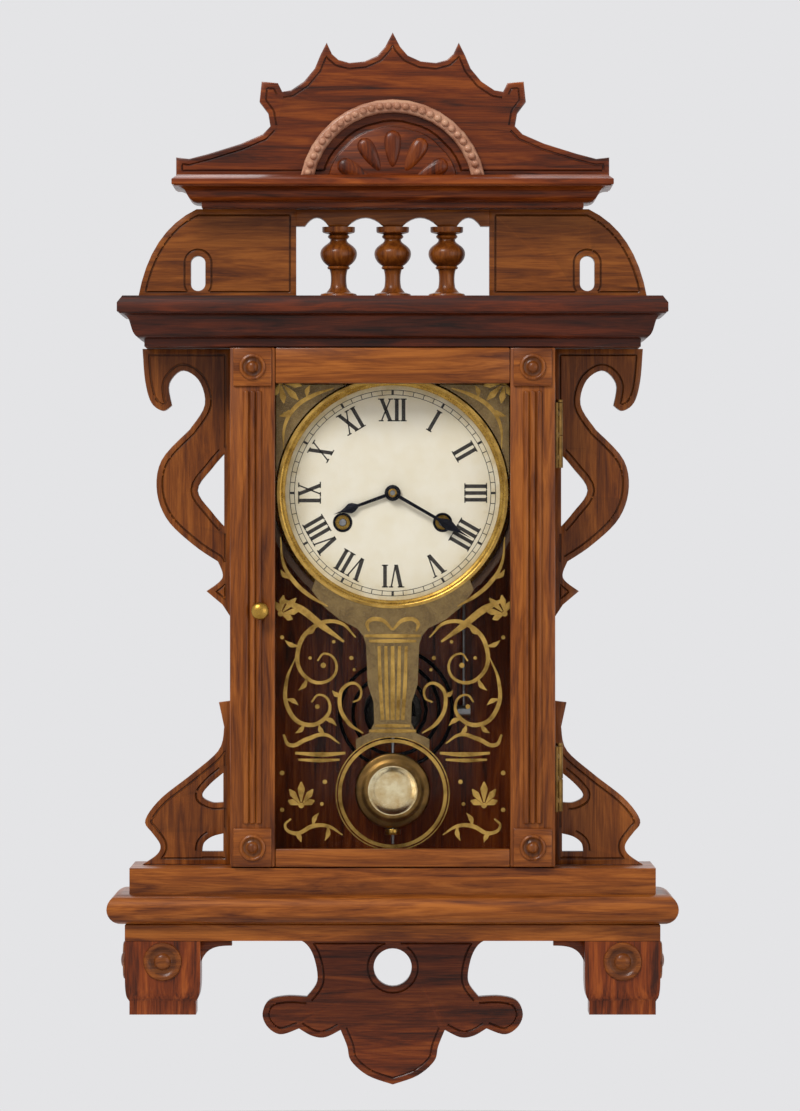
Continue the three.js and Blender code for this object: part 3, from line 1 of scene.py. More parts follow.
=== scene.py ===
import json
import math

import bmesh
import bpy
from bpy.props import FloatProperty, FloatVectorProperty, PointerProperty
from mathutils import Matrix, Vector
from mathutils.geometry import interpolate_bezier


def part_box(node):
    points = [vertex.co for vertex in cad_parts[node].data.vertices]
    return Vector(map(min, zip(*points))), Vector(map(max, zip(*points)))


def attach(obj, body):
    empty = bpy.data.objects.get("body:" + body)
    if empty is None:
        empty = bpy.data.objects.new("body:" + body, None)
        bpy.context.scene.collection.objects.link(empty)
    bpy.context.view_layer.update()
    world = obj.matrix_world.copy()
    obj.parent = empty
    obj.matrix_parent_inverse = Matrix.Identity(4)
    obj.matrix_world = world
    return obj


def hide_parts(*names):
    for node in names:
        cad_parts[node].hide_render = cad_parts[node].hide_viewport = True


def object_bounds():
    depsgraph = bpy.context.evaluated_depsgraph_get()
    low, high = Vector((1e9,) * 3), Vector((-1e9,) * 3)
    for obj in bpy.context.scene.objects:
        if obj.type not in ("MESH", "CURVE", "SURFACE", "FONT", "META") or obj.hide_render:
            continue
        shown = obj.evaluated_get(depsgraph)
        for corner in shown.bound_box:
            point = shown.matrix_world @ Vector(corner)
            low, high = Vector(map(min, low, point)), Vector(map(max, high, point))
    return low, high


bl_info = {
    "name": "Hanging kitchen clock",
    "version": (1, 0, 0),
    "blender": (4, 5, 0),
    "location": "View3D > Sidebar > Clock",
    "description": "Dresses a carved hanging clock: case, fretwork, glazed door, dial, pendulum and gong",
    "category": "Object",
}

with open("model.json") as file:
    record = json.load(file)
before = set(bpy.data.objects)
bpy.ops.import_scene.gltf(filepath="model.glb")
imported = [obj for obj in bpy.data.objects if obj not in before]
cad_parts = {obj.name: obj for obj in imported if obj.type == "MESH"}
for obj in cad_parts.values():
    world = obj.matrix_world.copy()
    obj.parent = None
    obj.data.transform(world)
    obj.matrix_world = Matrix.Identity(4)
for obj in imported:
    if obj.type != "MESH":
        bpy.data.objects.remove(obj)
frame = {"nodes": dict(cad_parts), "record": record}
CAD_BOX = [list(corner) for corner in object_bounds()]
MM = 0.001
MERGE = 0.002 * MM  # points closer than this are one
POINT = 1e-6  # radius of a turned piece where it meets its axis


def linear(hex_colour):
    """A colour written as sRGB hex, as the linear values that Blender mixes."""
    channels = [int(hex_colour[i:i + 2], 16) / 255 for i in (1, 3, 5)]
    return tuple(c / 12.92 if c <= 0.04045 else ((c + 0.055) / 1.055) ** 2.4 for c in channels)


def length(name, description, millimetres):
    """A size that a user may change, in metres."""
    return FloatProperty(name=name, description=description, default=millimetres * MM,
                         min=0, subtype="DISTANCE", unit="LENGTH", precision=5)


def colour(name, description, hex_colour):
    """A colour that a user may change."""
    return FloatVectorProperty(name=name, description=description, size=3, min=0, max=1,
                               subtype="COLOR", default=linear(hex_colour))


class ClockSizes(bpy.types.PropertyGroup):
    """Sizes of the carving, the dial and the gilding"""

    edge_round: length("Edge rounding", "Rounding of the edges of the fretwork boards", 1.1)
    groove_inset: length("Groove inset", "Wood between an edge and the groove beside it", 4.2)
    groove_width: length("Groove width", "Width of the carved grooves", 1.8)
    reed_radius: length("Reed radius", "Radius of the reeds on the door stiles", 2.1)
    roundel_radius: length("Roundel radius", "Radius of the turned roundels", 9)
    pearl_radius: length("Pearl radius", "Radius of the pearls on the crest arch", 2.6)
    numeral_height: length("Numeral height", "Height of the hour numerals", 15.5)
    numeral_ring: length("Numeral ring", "Radius of the middle of the hour numerals", 56.5)
    track_ring: length("Track ring", "Radius of the middle of the minute track", 68.3)
    gilt_line: length("Gilt line", "Half width of the gilt strokes at their broadest", 1.7)
    camera_distance: length("Camera distance", "From the camera to the dial", 5000)


class ClockColours(bpy.types.PropertyGroup):
    """Colours of the finishes"""

    walnut_dark: colour("Walnut, dark", "Dark streaks of the varnished walnut", "#4A2007")
    walnut: colour("Walnut", "Body of the varnished walnut", "#773E12")
    walnut_light: colour("Walnut, light", "Light streaks of the varnished walnut", "#985720")
    stained_dark: colour("Stained, dark", "Dark streaks of the stained walnut", "#2E0F03")
    stained: colour("Stained", "Body of the stained walnut", "#64290A")
    stained_light: colour("Stained, light", "Light streaks of the stained walnut", "#884316")
    pearwood: colour("Pearwood", "Body of the pale bead on the crest", "#B5836A")
    deal: colour("Deal", "Body of the backboard's raw deal", "#A98457")
    brass: colour("Brass", "Lacquered brass", "#C19A4B")
    gilt: colour("Gilt", "Gilding on the glass", "#C29C52")
    bronze: colour("Bronze", "Bronze powder behind the gilt column", "#8C7346")
    steel: colour("Steel", "Turned steel", "#9A9B9D")
    iron: colour("Iron", "Japanned iron", "#1D1B1A")
    paper: colour("Paper", "Dial paper", "#F6EFDB")
    ink: colour("Ink", "Printed numerals", "#17130F")
    backdrop: colour("Backdrop", "Pale studio backdrop", "#E4E4E6")


def sizes():
    return bpy.context.scene.clock_sizes


def colours():
    return bpy.context.scene.clock_colours


# Materials

def put(tree, kind, sockets=None, stops=(), **settings):
    """Adds a node with its settings, the stops of its ramp, its constant sockets and the links into it.
    A node that is given for a socket links from its first output."""
    made = tree.nodes.new(kind)
    for name, value in settings.items():
        setattr(made, name, value)
    for number, (place, shade) in enumerate(stops):
        if number == len(made.color_ramp.elements):
            made.color_ramp.elements.new(1.0)
        made.color_ramp.elements[number].position = place
        made.color_ramp.elements[number].color = (*shade, 1)
    for name, value in (sockets or {}).items():
        if isinstance(value, bpy.types.Node):
            value = value.outputs[0]
        if isinstance(value, bpy.types.NodeSocket):
            tree.links.new(value, made.inputs[name])
        else:
            made.inputs[name].default_value = value
    return made


def bare(name):
    """A new material with an empty tree, and the place on the object that its patterns read."""
    material = bpy.data.materials.new(name)
    material.use_nodes = True
    tree = material.node_tree
    tree.nodes.clear()
    return material, tree, put(tree, "ShaderNodeTexCoord").outputs["Object"]


def surfaced(material, sockets):
    """The material with its surface, from the sockets of its shader."""
    shader = put(material.node_tree, "ShaderNodeBsdfPrincipled", sockets)
    put(material.node_tree, "ShaderNodeOutputMaterial", {"Surface": shader})
    return material


def wood(name, shades, axis, place=(0, 0, 0), varnish=0.14):
    """Plain-sawn wood: streaks about 8 mm wide and pores under 1 mm, both drawn out along the grain,
    under a thin shellac. Rounded edges are painted lighter, as rubbed wear and as a painted highlight
    where the shellac gleams; hollows are painted darker, as dark wax and as painted shade."""
    material, tree, where = bare(name)
    streaks_at = put(tree, "ShaderNodeMapping", {
        "Vector": where, "Location": place, "Scale": [0.09 if letter == axis else 1 for letter in "XYZ"]})
    streaks = put(tree, "ShaderNodeTexNoise", {
        "Vector": streaks_at, "Scale": 1 / (8 * MM), "Detail": 4, "Roughness": 0.6, "Distortion": 1.1})
    pores_at = put(tree, "ShaderNodeMapping", {
        "Vector": where, "Location": place, "Scale": [0.04 if letter == axis else 1 for letter in "XYZ"]})
    pores = put(tree, "ShaderNodeTexNoise", {
        "Vector": pores_at, "Scale": 1 / (0.9 * MM), "Detail": 3, "Roughness": 0.7})
    figure = put(tree, "ShaderNodeMix", {"Factor": 0.3, 2: streaks, 3: pores}, data_type="FLOAT")
    grain = put(tree, "ShaderNodeValToRGB", {0: figure}, zip((0.36, 0.5, 0.64), shades))
    edges = put(tree, "ShaderNodeNewGeometry").outputs["Pointiness"]
    # Pointiness paints rounded edges lighter (wear and painted highlight) and hollows darker (wax and
    # painted shade).
    wear_and_painted_light = put(tree, "ShaderNodeValToRGB", {0: edges}, [
        (0.44, (0.45,) * 3), (0.495, (0.95,) * 3), (0.53, (1.0,) * 3), (0.6, (1.35,) * 3)])
    shade = put(tree, "ShaderNodeMix", {"Factor": 1.0, 6: grain, 7: wear_and_painted_light}, data_type="RGBA",
                blend_type="MULTIPLY")
    gloss = put(tree, "ShaderNodeMapRange", {
        "Value": figure, "From Min": 0.35, "From Max": 0.65, "To Min": 0.44, "To Max": 0.28})
    relief = put(tree, "ShaderNodeBump", {"Height": pores, "Strength": 0.25, "Distance": 0.15 * MM})
    return surfaced(material, {
        "Base Color": shade.outputs[2], "Roughness": gloss, "Normal": relief,
        "Specular IOR Level": 0.18, "Coat Weight": varnish, "Coat Roughness": 0.12})


def metal(name, body, tarnish, rough, spread=0.12):
    """Sheet or turned metal: a film of tarnish in clouds about 12 mm across, and fine scratches,
    drawn 1 mm apart so that they show."""
    material, tree, where = bare(name)
    clouds = put(tree, "ShaderNodeTexNoise", {
        "Vector": where, "Scale": 1 / (12 * MM), "Detail": 5, "Roughness": 0.65})
    scratches = put(tree, "ShaderNodeTexNoise", {
        "Vector": where, "Scale": 1 / (1.0 * MM), "Detail": 2, "Roughness": 0.5})
    shade = put(tree, "ShaderNodeValToRGB", {0: clouds}, [(0.3, tarnish), (0.62, body)])
    gloss = put(tree, "ShaderNodeMapRange", {
        "Value": scratches, "From Min": 0.3, "From Max": 0.7,
        "To Min": rough - spread / 2, "To Max": rough + spread / 2})
    relief = put(tree, "ShaderNodeBump", {"Height": scratches, "Strength": 0.12, "Distance": 0.05 * MM})
    return surfaced(material, {"Base Color": shade, "Roughness": gloss, "Normal": relief, "Metallic": 1.0})


def aged_paper(name):
    """Printed dial paper on zinc: matt cream, browned towards the bezel and spotted with age. The rim
    that shows round the bezel is bare zinc, painted brown."""
    material, tree, where = bare(name)
    flat = put(tree, "ShaderNodeVectorMath", {0: where, 1: (1, 0, 1)}, operation="MULTIPLY")
    radius = put(tree, "ShaderNodeVectorMath", {0: flat}, operation="LENGTH").outputs["Value"]
    clouds = put(tree, "ShaderNodeTexNoise", {
        "Vector": where, "Scale": 1 / (22 * MM), "Detail": 6, "Roughness": 0.7})
    reach = put(tree, "ShaderNodeMapRange", {
        "Value": radius, "From Min": 52 * MM, "From Max": 76 * MM, "To Min": 0.0, "To Max": 0.5})
    age = put(tree, "ShaderNodeMath", {0: clouds, 1: reach}, operation="ADD")
    shade = put(tree, "ShaderNodeValToRGB", {0: age}, [
        (0.4, tuple(colours().paper)), (0.78, linear("#EEE3C6")), (1.0, linear("#D8C496"))])
    rim = put(tree, "ShaderNodeMapRange", {"Value": radius, "From Min": 75 * MM, "From Max": 76 * MM})
    painted = put(tree, "ShaderNodeMix", {0: rim, 6: shade, 7: (*linear("#4A301A"), 1)}, data_type="RGBA")
    fibres = put(tree, "ShaderNodeTexNoise", {"Vector": where, "Scale": 1 / (0.6 * MM), "Detail": 2})
    relief = put(tree, "ShaderNodeBump", {"Height": fibres, "Strength": 0.1, "Distance": 0.05 * MM})
    return surfaced(material, {"Base Color": painted.outputs[2], "Normal": relief, "Roughness": 0.7})


def printing_ink(name):
    """Black letterpress ink: matt, a little thin in places."""
    material, tree, where = bare(name)
    patches = put(tree, "ShaderNodeTexNoise", {"Vector": where, "Scale": 1 / (2 * MM), "Detail": 3})
    shade = put(tree, "ShaderNodeValToRGB", {0: patches}, [
        (0.3, tuple(colours().ink)), (0.8, linear("#3A332B"))])
    return surfaced(material, {"Base Color": shade, "Roughness": 0.6})


def window_glass(name):
    """Old sheet glass: clear, faintly green, with slow ripples about 30 mm long in its reflections."""
    material, tree, where = bare(name)
    ripples = put(tree, "ShaderNodeTexNoise", {"Vector": where, "Scale": 1 / (30 * MM), "Detail": 1})
    shade = put(tree, "ShaderNodeValToRGB", {0: ripples}, [
        (0.2, linear("#121614")), (0.8, linear("#1A1F1C"))])
    relief = put(tree, "ShaderNodeBump", {"Height": ripples, "Strength": 0.15, "Distance": 0.4 * MM})
    return surfaced(material, {
        "Base Color": shade, "Normal": relief, "Roughness": 0.03, "Alpha": 0.028, "IOR": 1.52})


def bronze_paint(name):
    """Bronze powder in varnish, dabbed on the back of glass: a dull metal sheen in clouds about 9 mm
    across, mottled by grains drawn 1 mm wide so that they show, and it lets some light through."""
    material, tree, where = bare(name)
    clouds = put(tree, "ShaderNodeTexNoise", {"Vector": where, "Scale": 1 / (9 * MM), "Detail": 2})
    grains = put(tree, "ShaderNodeTexNoise", {"Vector": where, "Scale": 1 / (1.0 * MM), "Detail": 2})
    dabs = put(tree, "ShaderNodeMix", {"Factor": 0.45, 2: clouds, 3: grains}, data_type="FLOAT")
    shade = put(tree, "ShaderNodeValToRGB", {0: dabs}, [
        (0.36, linear("#6A5430")), (0.62, tuple(colours().bronze))])
    relief = put(tree, "ShaderNodeBump", {"Height": grains, "Strength": 0.15, "Distance": 0.05 * MM})
    return surfaced(material, {
        "Base Color": shade, "Normal": relief, "Roughness": 0.48, "Metallic": 0.35, "Alpha": 0.85})


def backdrop_paper(name):
    """Seamless studio paper: matt and pale, with a fine tooth about 2 mm across."""
    material, tree, where = bare(name)
    tooth = put(tree, "ShaderNodeTexNoise", {"Vector": where, "Scale": 1 / (2 * MM), "Detail": 2})
    relief = put(tree, "ShaderNodeBump", {"Height": tooth, "Strength": 0.05, "Distance": 0.1 * MM})
    return surfaced(material, {"Base Color": (*colours().backdrop, 1), "Normal": relief, "Roughness": 0.9})


def finish(name, make, *values):
    """A finish that many pieces share, made at its first use."""
    return bpy.data.materials.get(name) or make(name, *values)


GRAIN_PLACES = {"X": (0.13, 0.02, 0.41), "Y": (0.31, 0.07, 0.23), "Z": (0.05, 0.19, 0.02)}


def grained(name, streaks, axis):
    """A timber of the case with its grain along an axis, from its dark, middle and light streaks."""
    streaks = [tuple(shade) for shade in streaks]
    return finish(f"{name}_grain_{axis.lower()}", wood, streaks, axis, GRAIN_PLACES[axis])


def walnut(axis):
    """Varnished walnut: a warm red-brown."""
    shades = colours()
    return grained("varnished_walnut", (shades.walnut_dark, shades.walnut, shades.walnut_light), axis)


def stained_walnut(axis):
    """Walnut stained dark before its varnish, so that the streaks lie close together."""
    shades = colours()
    return grained("stained_walnut", (shades.stained_dark, shades.stained, shades.stained_light), axis)


def ebonised_walnut(axis):
    """Walnut stained nearly black for the heavy cornice, with red where the stain is thin; the near black
    is also painted shade for the cornice's shadowed cove.
    """
    return grained("ebonised_walnut", map(linear, ("#1A0702", "#3C1506", "#5A240C")), axis)


def pearwood():
    """Pale varnished pearwood, with hardly any grain, for the bead that sets off the dark crest."""
    streaks = [linear("#96644A"), tuple(colours().pearwood), linear("#C79A7C")]
    return finish("varnished_pearwood_grain_x", wood, streaks, "X", (0.2, 0.3, 0.1))


def raw_deal():
    """Unvarnished deal on the wall side: straw coloured and dull."""
    streaks = [linear("#8A6840"), tuple(colours().deal), linear("#BF9C6C")]
    return finish("raw_deal_grain_z", wood, streaks, "Z", (0.4, 0.1, 0.3), 0.0)


# The metals give their body, their tarnish and their roughness.

def lacquered_brass():
    """Spun or stamped brass under old lacquer: yellow, clouded brown."""
    return finish("lacquered_brass", metal, tuple(colours().brass), linear("#8A6526"), 0.3)


def polished_brass():
    """Pressed brass that is still bright: pale and nearly a mirror."""
    return finish("polished_brass", metal, linear("#F2E2B8"), linear("#C9A667"), 0.2, 0.08)


def aged_brass():
    """Brass that has gone brown in use."""
    return finish("aged_brass", metal, linear("#8B6A3A"), linear("#4E3A1E"), 0.42)


def gilding():
    """Gold leaf on glass, dulled by its backing."""
    return finish("gold_leaf_on_glass", metal, tuple(colours().gilt), linear("#7A5C2B"), 0.42)


def turned_steel():
    """Bright turned steel, grey with a little rust bloom."""
    return finish("turned_steel", metal, tuple(colours().steel), linear("#6C6A66"), 0.34)


def blued_steel():
    """Spring steel blackened with heat and oil."""
    return finish("blackened_spring_steel", metal, linear("#24242A"), linear("#141416"), 0.38)


def japanned_iron():
    """Cast iron under black japan."""
    return finish("japanned_cast_iron", metal, linear("#3B3733"), tuple(colours().iron), 0.5)


# Modelling

def select_none():
    if bpy.context.mode != "OBJECT":
        bpy.ops.object.mode_set(mode="OBJECT")
    bpy.ops.object.select_all(action="DESELECT")


def activate(piece, mode="OBJECT"):
    select_none()
    piece.select_set(True)
    bpy.context.view_layer.objects.active = piece
    if mode == "EDIT":
        bpy.ops.object.mode_set(mode="EDIT")
        bpy.ops.mesh.select_all(action="SELECT")


def added(name):
    """The primitive that was just added, under its name."""
    piece = bpy.context.object
    piece.name = name
    piece.data.name = name
    return piece


def pick(kind, test):
    """In edit mode, selects the faces or edges that pass a test of their place or normal."""
    bpy.ops.mesh.select_mode(type=kind)
    bpy.ops.mesh.select_all(action="DESELECT")
    mesh = bpy.context.object.data
    shape = bmesh.from_edit_mesh(mesh)
    found = 0
    for part in shape.faces if kind == "FACE" else shape.edges:
        if test(part):
            part.select_set(True)
            found += 1
    bmesh.update_edit_mesh(mesh)
    return found


def close_up(piece):
    """Merges doubles, drops loose edges and turns the faces outwards."""
    activate(piece, "EDIT")
    bpy.ops.mesh.remove_doubles(threshold=MERGE)
    bpy.ops.mesh.delete_loose(use_verts=True, use_edges=True, use_faces=False)
    bpy.ops.mesh.select_all(action="SELECT")
    bpy.ops.mesh.normals_make_consistent(inside=False)
    bpy.ops.object.mode_set(mode="OBJECT")


def settle(piece, turn=(0, 0, 0), place=(0, 0, 0)):
    """Puts a piece in its place and leaves its object at the origin, unturned."""
    activate(piece)
    piece.rotation_euler = turn
    piece.location = place
    bpy.ops.object.transform_apply(location=True, rotation=True, scale=True)


def joined(name, parts):
    """Several pieces made one."""
    select_none()
    for part in parts:
        part.select_set(True)
    bpy.context.view_layer.objects.active = parts[0]
    bpy.ops.object.join()
    bpy.ops.object.transform_apply(location=True, rotation=True, scale=True)
    return added(name)


def modified(piece, kind, **settings):
    """Adds a modifier with its settings and applies it."""
    activate(piece)
    bpy.ops.object.modifier_add(type=kind)
    modifier = piece.modifiers[-1]
    for name, value in settings.items():
        setattr(modifier, name, value)
    bpy.ops.object.modifier_apply(modifier=modifier.name)


def squared(name, size, place):
    """A squared blank of a size, with its middle at a place."""
    select_none()
    bpy.ops.mesh.primitive_cube_add(size=1, location=place)
    piece = added(name)
    piece.scale = size
    bpy.ops.object.transform_apply(location=True, scale=True)
    return piece


def middle_of(node):
    """The middle of a CAD node's box."""
    low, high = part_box(node)
    return (low + high) / 2


def copies(name, pattern, places):
    """A pattern copied to each place and turn, made one piece; the pattern goes."""
    made = []
    for place, turn in places:
        activate(pattern)
        bpy.ops.object.duplicate()
        copy = bpy.context.object
        copy.location = place
        copy.rotation_euler = turn
        made.append(copy)
    bpy.data.objects.remove(pattern)
    return joined(name, made)


def dress(piece, material, body, slot, *nodes, angle=38):
    """Shades, paints and hangs a finished piece on its body."""
    activate(piece)
    bpy.ops.object.shade_smooth_by_angle(angle=math.radians(angle))
    piece.data.materials.clear()
    piece.data.materials.append(material)
    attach(piece, body)
    if nodes:
        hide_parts(*nodes)
    return piece


def refinish(node, material):
    """Gives a CAD node that stays in view its finish."""
    mesh = frame["nodes"][node].data
    mesh.materials.clear()
    mesh.materials.append(material)


def paint_faces(piece, material, test):
    """Gives the faces that pass a test another material."""
    piece.data.materials.append(material)
    index = len(piece.data.materials) - 1
    for face in piece.data.polygons:
        if test(face):
            face.material_index = index


def copy_of(node, name):
    """A merged copy of a CAD node, its flat faces joined up, ready to be rounded and carved."""
    piece = bpy.data.objects.new(name, frame["nodes"][node].data.copy())
    bpy.context.scene.collection.objects.link(piece)
    piece.data.name = name
    piece.data.materials.clear()
    activate(piece, "EDIT")
    bpy.ops.mesh.customdata_custom_splitnormals_clear()
    bpy.ops.mesh.remove_doubles(threshold=MERGE)
    bpy.ops.mesh.dissolve_limited(angle_limit=math.radians(0.5))
    bpy.ops.object.mode_set(mode="OBJECT")
    return piece


def is_rim(edge):
    """An edge between a board's face and its sawn side."""
    if len(edge.link_faces) != 2:
        return False
    tilt = sorted(abs(face.normal.y) for face in edge.link_faces)
    return tilt[0] < 0.3 and tilt[1] > 0.95


def is_sharp(edge):
    return len(edge.link_faces) == 2 and edge.calc_face_angle(0) > math.radians(50)


def round_edges(piece, width, test=is_sharp, segments=2):
    """Rounds the edges that pass a test."""
    activate(piece, "EDIT")
    if pick("EDGE", test):
        bpy.ops.mesh.bevel(offset=width, segments=segments, affect="EDGES", clamp_overlap=True,
                           loop_slide=False)
    bpy.ops.object.mode_set(mode="OBJECT")


def softened(node, ending, width, material, body, slot, test=is_sharp, angle=38):
    """A CAD node's copy with its edges rounded to a width, if it has one, dressed in the node's place."""
    piece = copy_of(node, f"{node}_{ending}")
    if width:
        round_edges(piece, width, test)
    return dress(piece, material, body, slot, node, angle=angle)


def outline_loops(piece, front):
    """The closed outlines of a board's front face, as points that keep the wood on their left."""
    shape = bmesh.new()
    shape.from_mesh(piece.data)
    following = {}
    for face in shape.faces:
        if face.normal.y < -0.99 and abs(face.calc_center_median().y - front) < 0.1 * MM:
            for corner in face.loops:
                if is_rim(corner.edge):
                    following[corner.vert] = corner.link_loop_next.vert
    loops = []
    while following:
        vertex = next(iter(following))
        loop = []
        while vertex in following:
            loop.append(Vector((vertex.co.x, vertex.co.z)))
            vertex = following.pop(vertex)
        loops.append(loop)
    shape.free()
    return loops


def distance_to(point, sides):
    """Least distance from a point to straight sides."""
    least = math.inf
    for start, run, square in sides:
        share = max(0, min(1, (point - start).dot(run) / square))
        least = min(least, (point - start - share * run).length)
    return least


def inset_lines(loops, inset, spacing=1.2 * MM):
    """Lines that run a set way inside closed outlines, broken where the wood is too narrow."""
    sides = []
    for loop in loops:
        for start, end in zip(loop, loop[1:] + loop[:1]):
            run = end - start
            if run.length > 1e-6:
                sides.append((start, run, run.length_squared))
    lines = []
    for loop in loops:
        points = []
        for start, end in zip(loop, loop[1:] + loop[:1]):
            run = end - start
            inward = Vector((-run.y, run.x)).normalized() * inset
            steps = max(1, round(run.length / spacing))
            points += [start + inward + run * (step / steps) for step in range(steps + 1)]
        points = [point for point in points if distance_to(point, sides) > 0.985 * inset]
        line = []
        for point in points:
            if line and (point - line[-1]).length > 3 * spacing:
                lines.append(line)
                line = []
            if not line or (point - line[-1]).length > 0.4 * spacing:
                line.append(point)
        if line:
            lines.append(line)
    return [line for line in lines if len(line) > 8]


def groove_cutter(lines, front):
    """A round bit's path along lines just over a board's front."""
    select_none()
    bpy.ops.curve.primitive_bezier_curve_add()
    curve = bpy.context.object.data
    curve.splines.clear()
    for line in lines:
        closed = (line[0] - line[-1]).length < 4 * MM
        spline = curve.splines.new("POLY")
        spline.points.add(len(line) - 1)
        for knot, point in zip(spline.points, line):
            knot.co = (point.x, front - 0.07 * MM, point.y, 1)
        spline.use_cyclic_u = closed
    curve.bevel_depth = sizes().groove_width / 2
    curve.bevel_resolution = 1
    curve.use_fill_caps = True
    bpy.ops.object.convert(target="MESH")
    return added("groove_bit")


def cut_away(piece, cutter):
    """Takes a cutter's shape out of a piece."""
    close_up(cutter)
    modified(piece, "BOOLEAN", operation="DIFFERENCE", solver="EXACT", use_self=True, object=cutter)
    bpy.data.objects.remove(cutter)


def carved_board(node, front=None):
    """A fretwork board with rounded edges and a groove carved along its outline."""
    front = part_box(node)[0].y if front is None else front
    piece = copy_of(node, f"{node}_carved")
    lines = inset_lines(outline_loops(piece, front), sizes().groove_inset)
    round_edges(piece, sizes().edge_round, is_rim)
    cut_away(piece, groove_cutter(lines, front))
    return piece


def turned(name, profile, sides=48, turn=(0, 0, 0), place=(0, 0, 0)):
    """A turned piece: a circle at the first radius, drawn out and scaled from ring to ring.
    The profile is radius and rise in millimetres; an end that isn't on the axis is capped."""
    select_none()
    radius, rise = max(profile[0][0] * MM, POINT), profile[0][1] * MM
    bpy.ops.mesh.primitive_circle_add(vertices=sides, radius=radius, location=(0, 0, rise))
    piece = added(name)
    bpy.ops.object.transform_apply(location=True)
    activate(piece, "EDIT")
    bpy.ops.mesh.select_mode(type="EDGE")
    bpy.ops.mesh.select_all(action="SELECT")
    if profile[0] != profile[-1]:
        bpy.ops.mesh.edge_face_add()
        bpy.ops.mesh.select_mode(type="FACE")
    for next_radius, next_rise in profile[1:]:
        next_radius, next_rise = max(next_radius * MM, POINT), next_rise * MM
        bpy.ops.mesh.extrude_region_move(TRANSFORM_OT_translate={"value": (0, 0, next_rise - rise)})
        share = next_radius / radius
        bpy.ops.transform.resize(value=(share, share, 1), center_override=(0, 0, next_rise))
        radius, rise = next_radius, next_rise
    close_up(piece)
    settle(piece, turn, place)
    return piece


FACING_FRONT = (math.pi / 2, 0, 0)


def moulded(name, low, high, profile, spread_back):
    """A moulding drawn up from its foot: a plane, extruded up and spread to each step of the profile.
    The profile is outset and rise in millimetres; its back stays flat unless it spreads there too."""
    middle, size = (low + high) / 2, high - low
    select_none()
    bpy.ops.mesh.primitive_plane_add(size=1, location=(middle.x, middle.y, low.z))
    piece = added(name)
    piece.scale = (size.x, size.y, 1)
    bpy.ops.object.transform_apply(location=True, scale=True)
    activate(piece, "EDIT")
    still, spread = (middle.y, 2) if spread_back else (high.y, 1)
    width, depth, rise = size.x, size.y, 0.0
    for number, (outset, height) in enumerate(profile):
        if number:
            bpy.ops.mesh.extrude_region_move(TRANSFORM_OT_translate={"value": (0, 0, height * MM - rise)})
            rise = height * MM
        wider, deeper = size.x + 2 * outset * MM, size.y + spread * outset * MM
        bpy.ops.transform.resize(value=(wider / width, deeper / depth, 1),
                                 center_override=(middle.x, still, low.z + rise))
        width, depth = wider, deeper
    close_up(piece)
    return piece


def plate(name, outline, back, thick):
    """A flat plate: a round blank cut to an outline of x and z, then drawn out towards the front."""
    select_none()
    bpy.ops.mesh.primitive_circle_add(vertices=len(outline), radius=1, fill_type="NGON")
    piece = added(name)
    for vertex, (x, z) in zip(piece.data.vertices, outline):
        vertex.co = (x, back, z)
    activate(piece, "EDIT")
    bpy.ops.mesh.extrude_region_move(TRANSFORM_OT_translate={"value": (0, -thick, 0)})
    close_up(piece)
    return piece


def screw_heads(name, profile, places):
    """Turned screw heads with a sawn slot, one at each place and turn."""
    head = turned("screw_head", profile, 24)
    cut_away(head, squared("screw_slot", (6 * MM, 0.7 * MM, 1.1 * MM), (0, 0, profile[-1][1] * MM)))
    return copies(name, head, places)


def curve_steps(start, first, second, end, steps=10):
    """Points of a moulding's curve from its ends and its two handles, in millimetres."""
    handles = [Vector((*point, 0)) for point in (start, first, second, end)]
    return [(point.x, point.y) for point in interpolate_bezier(*handles, steps)]


# Stage

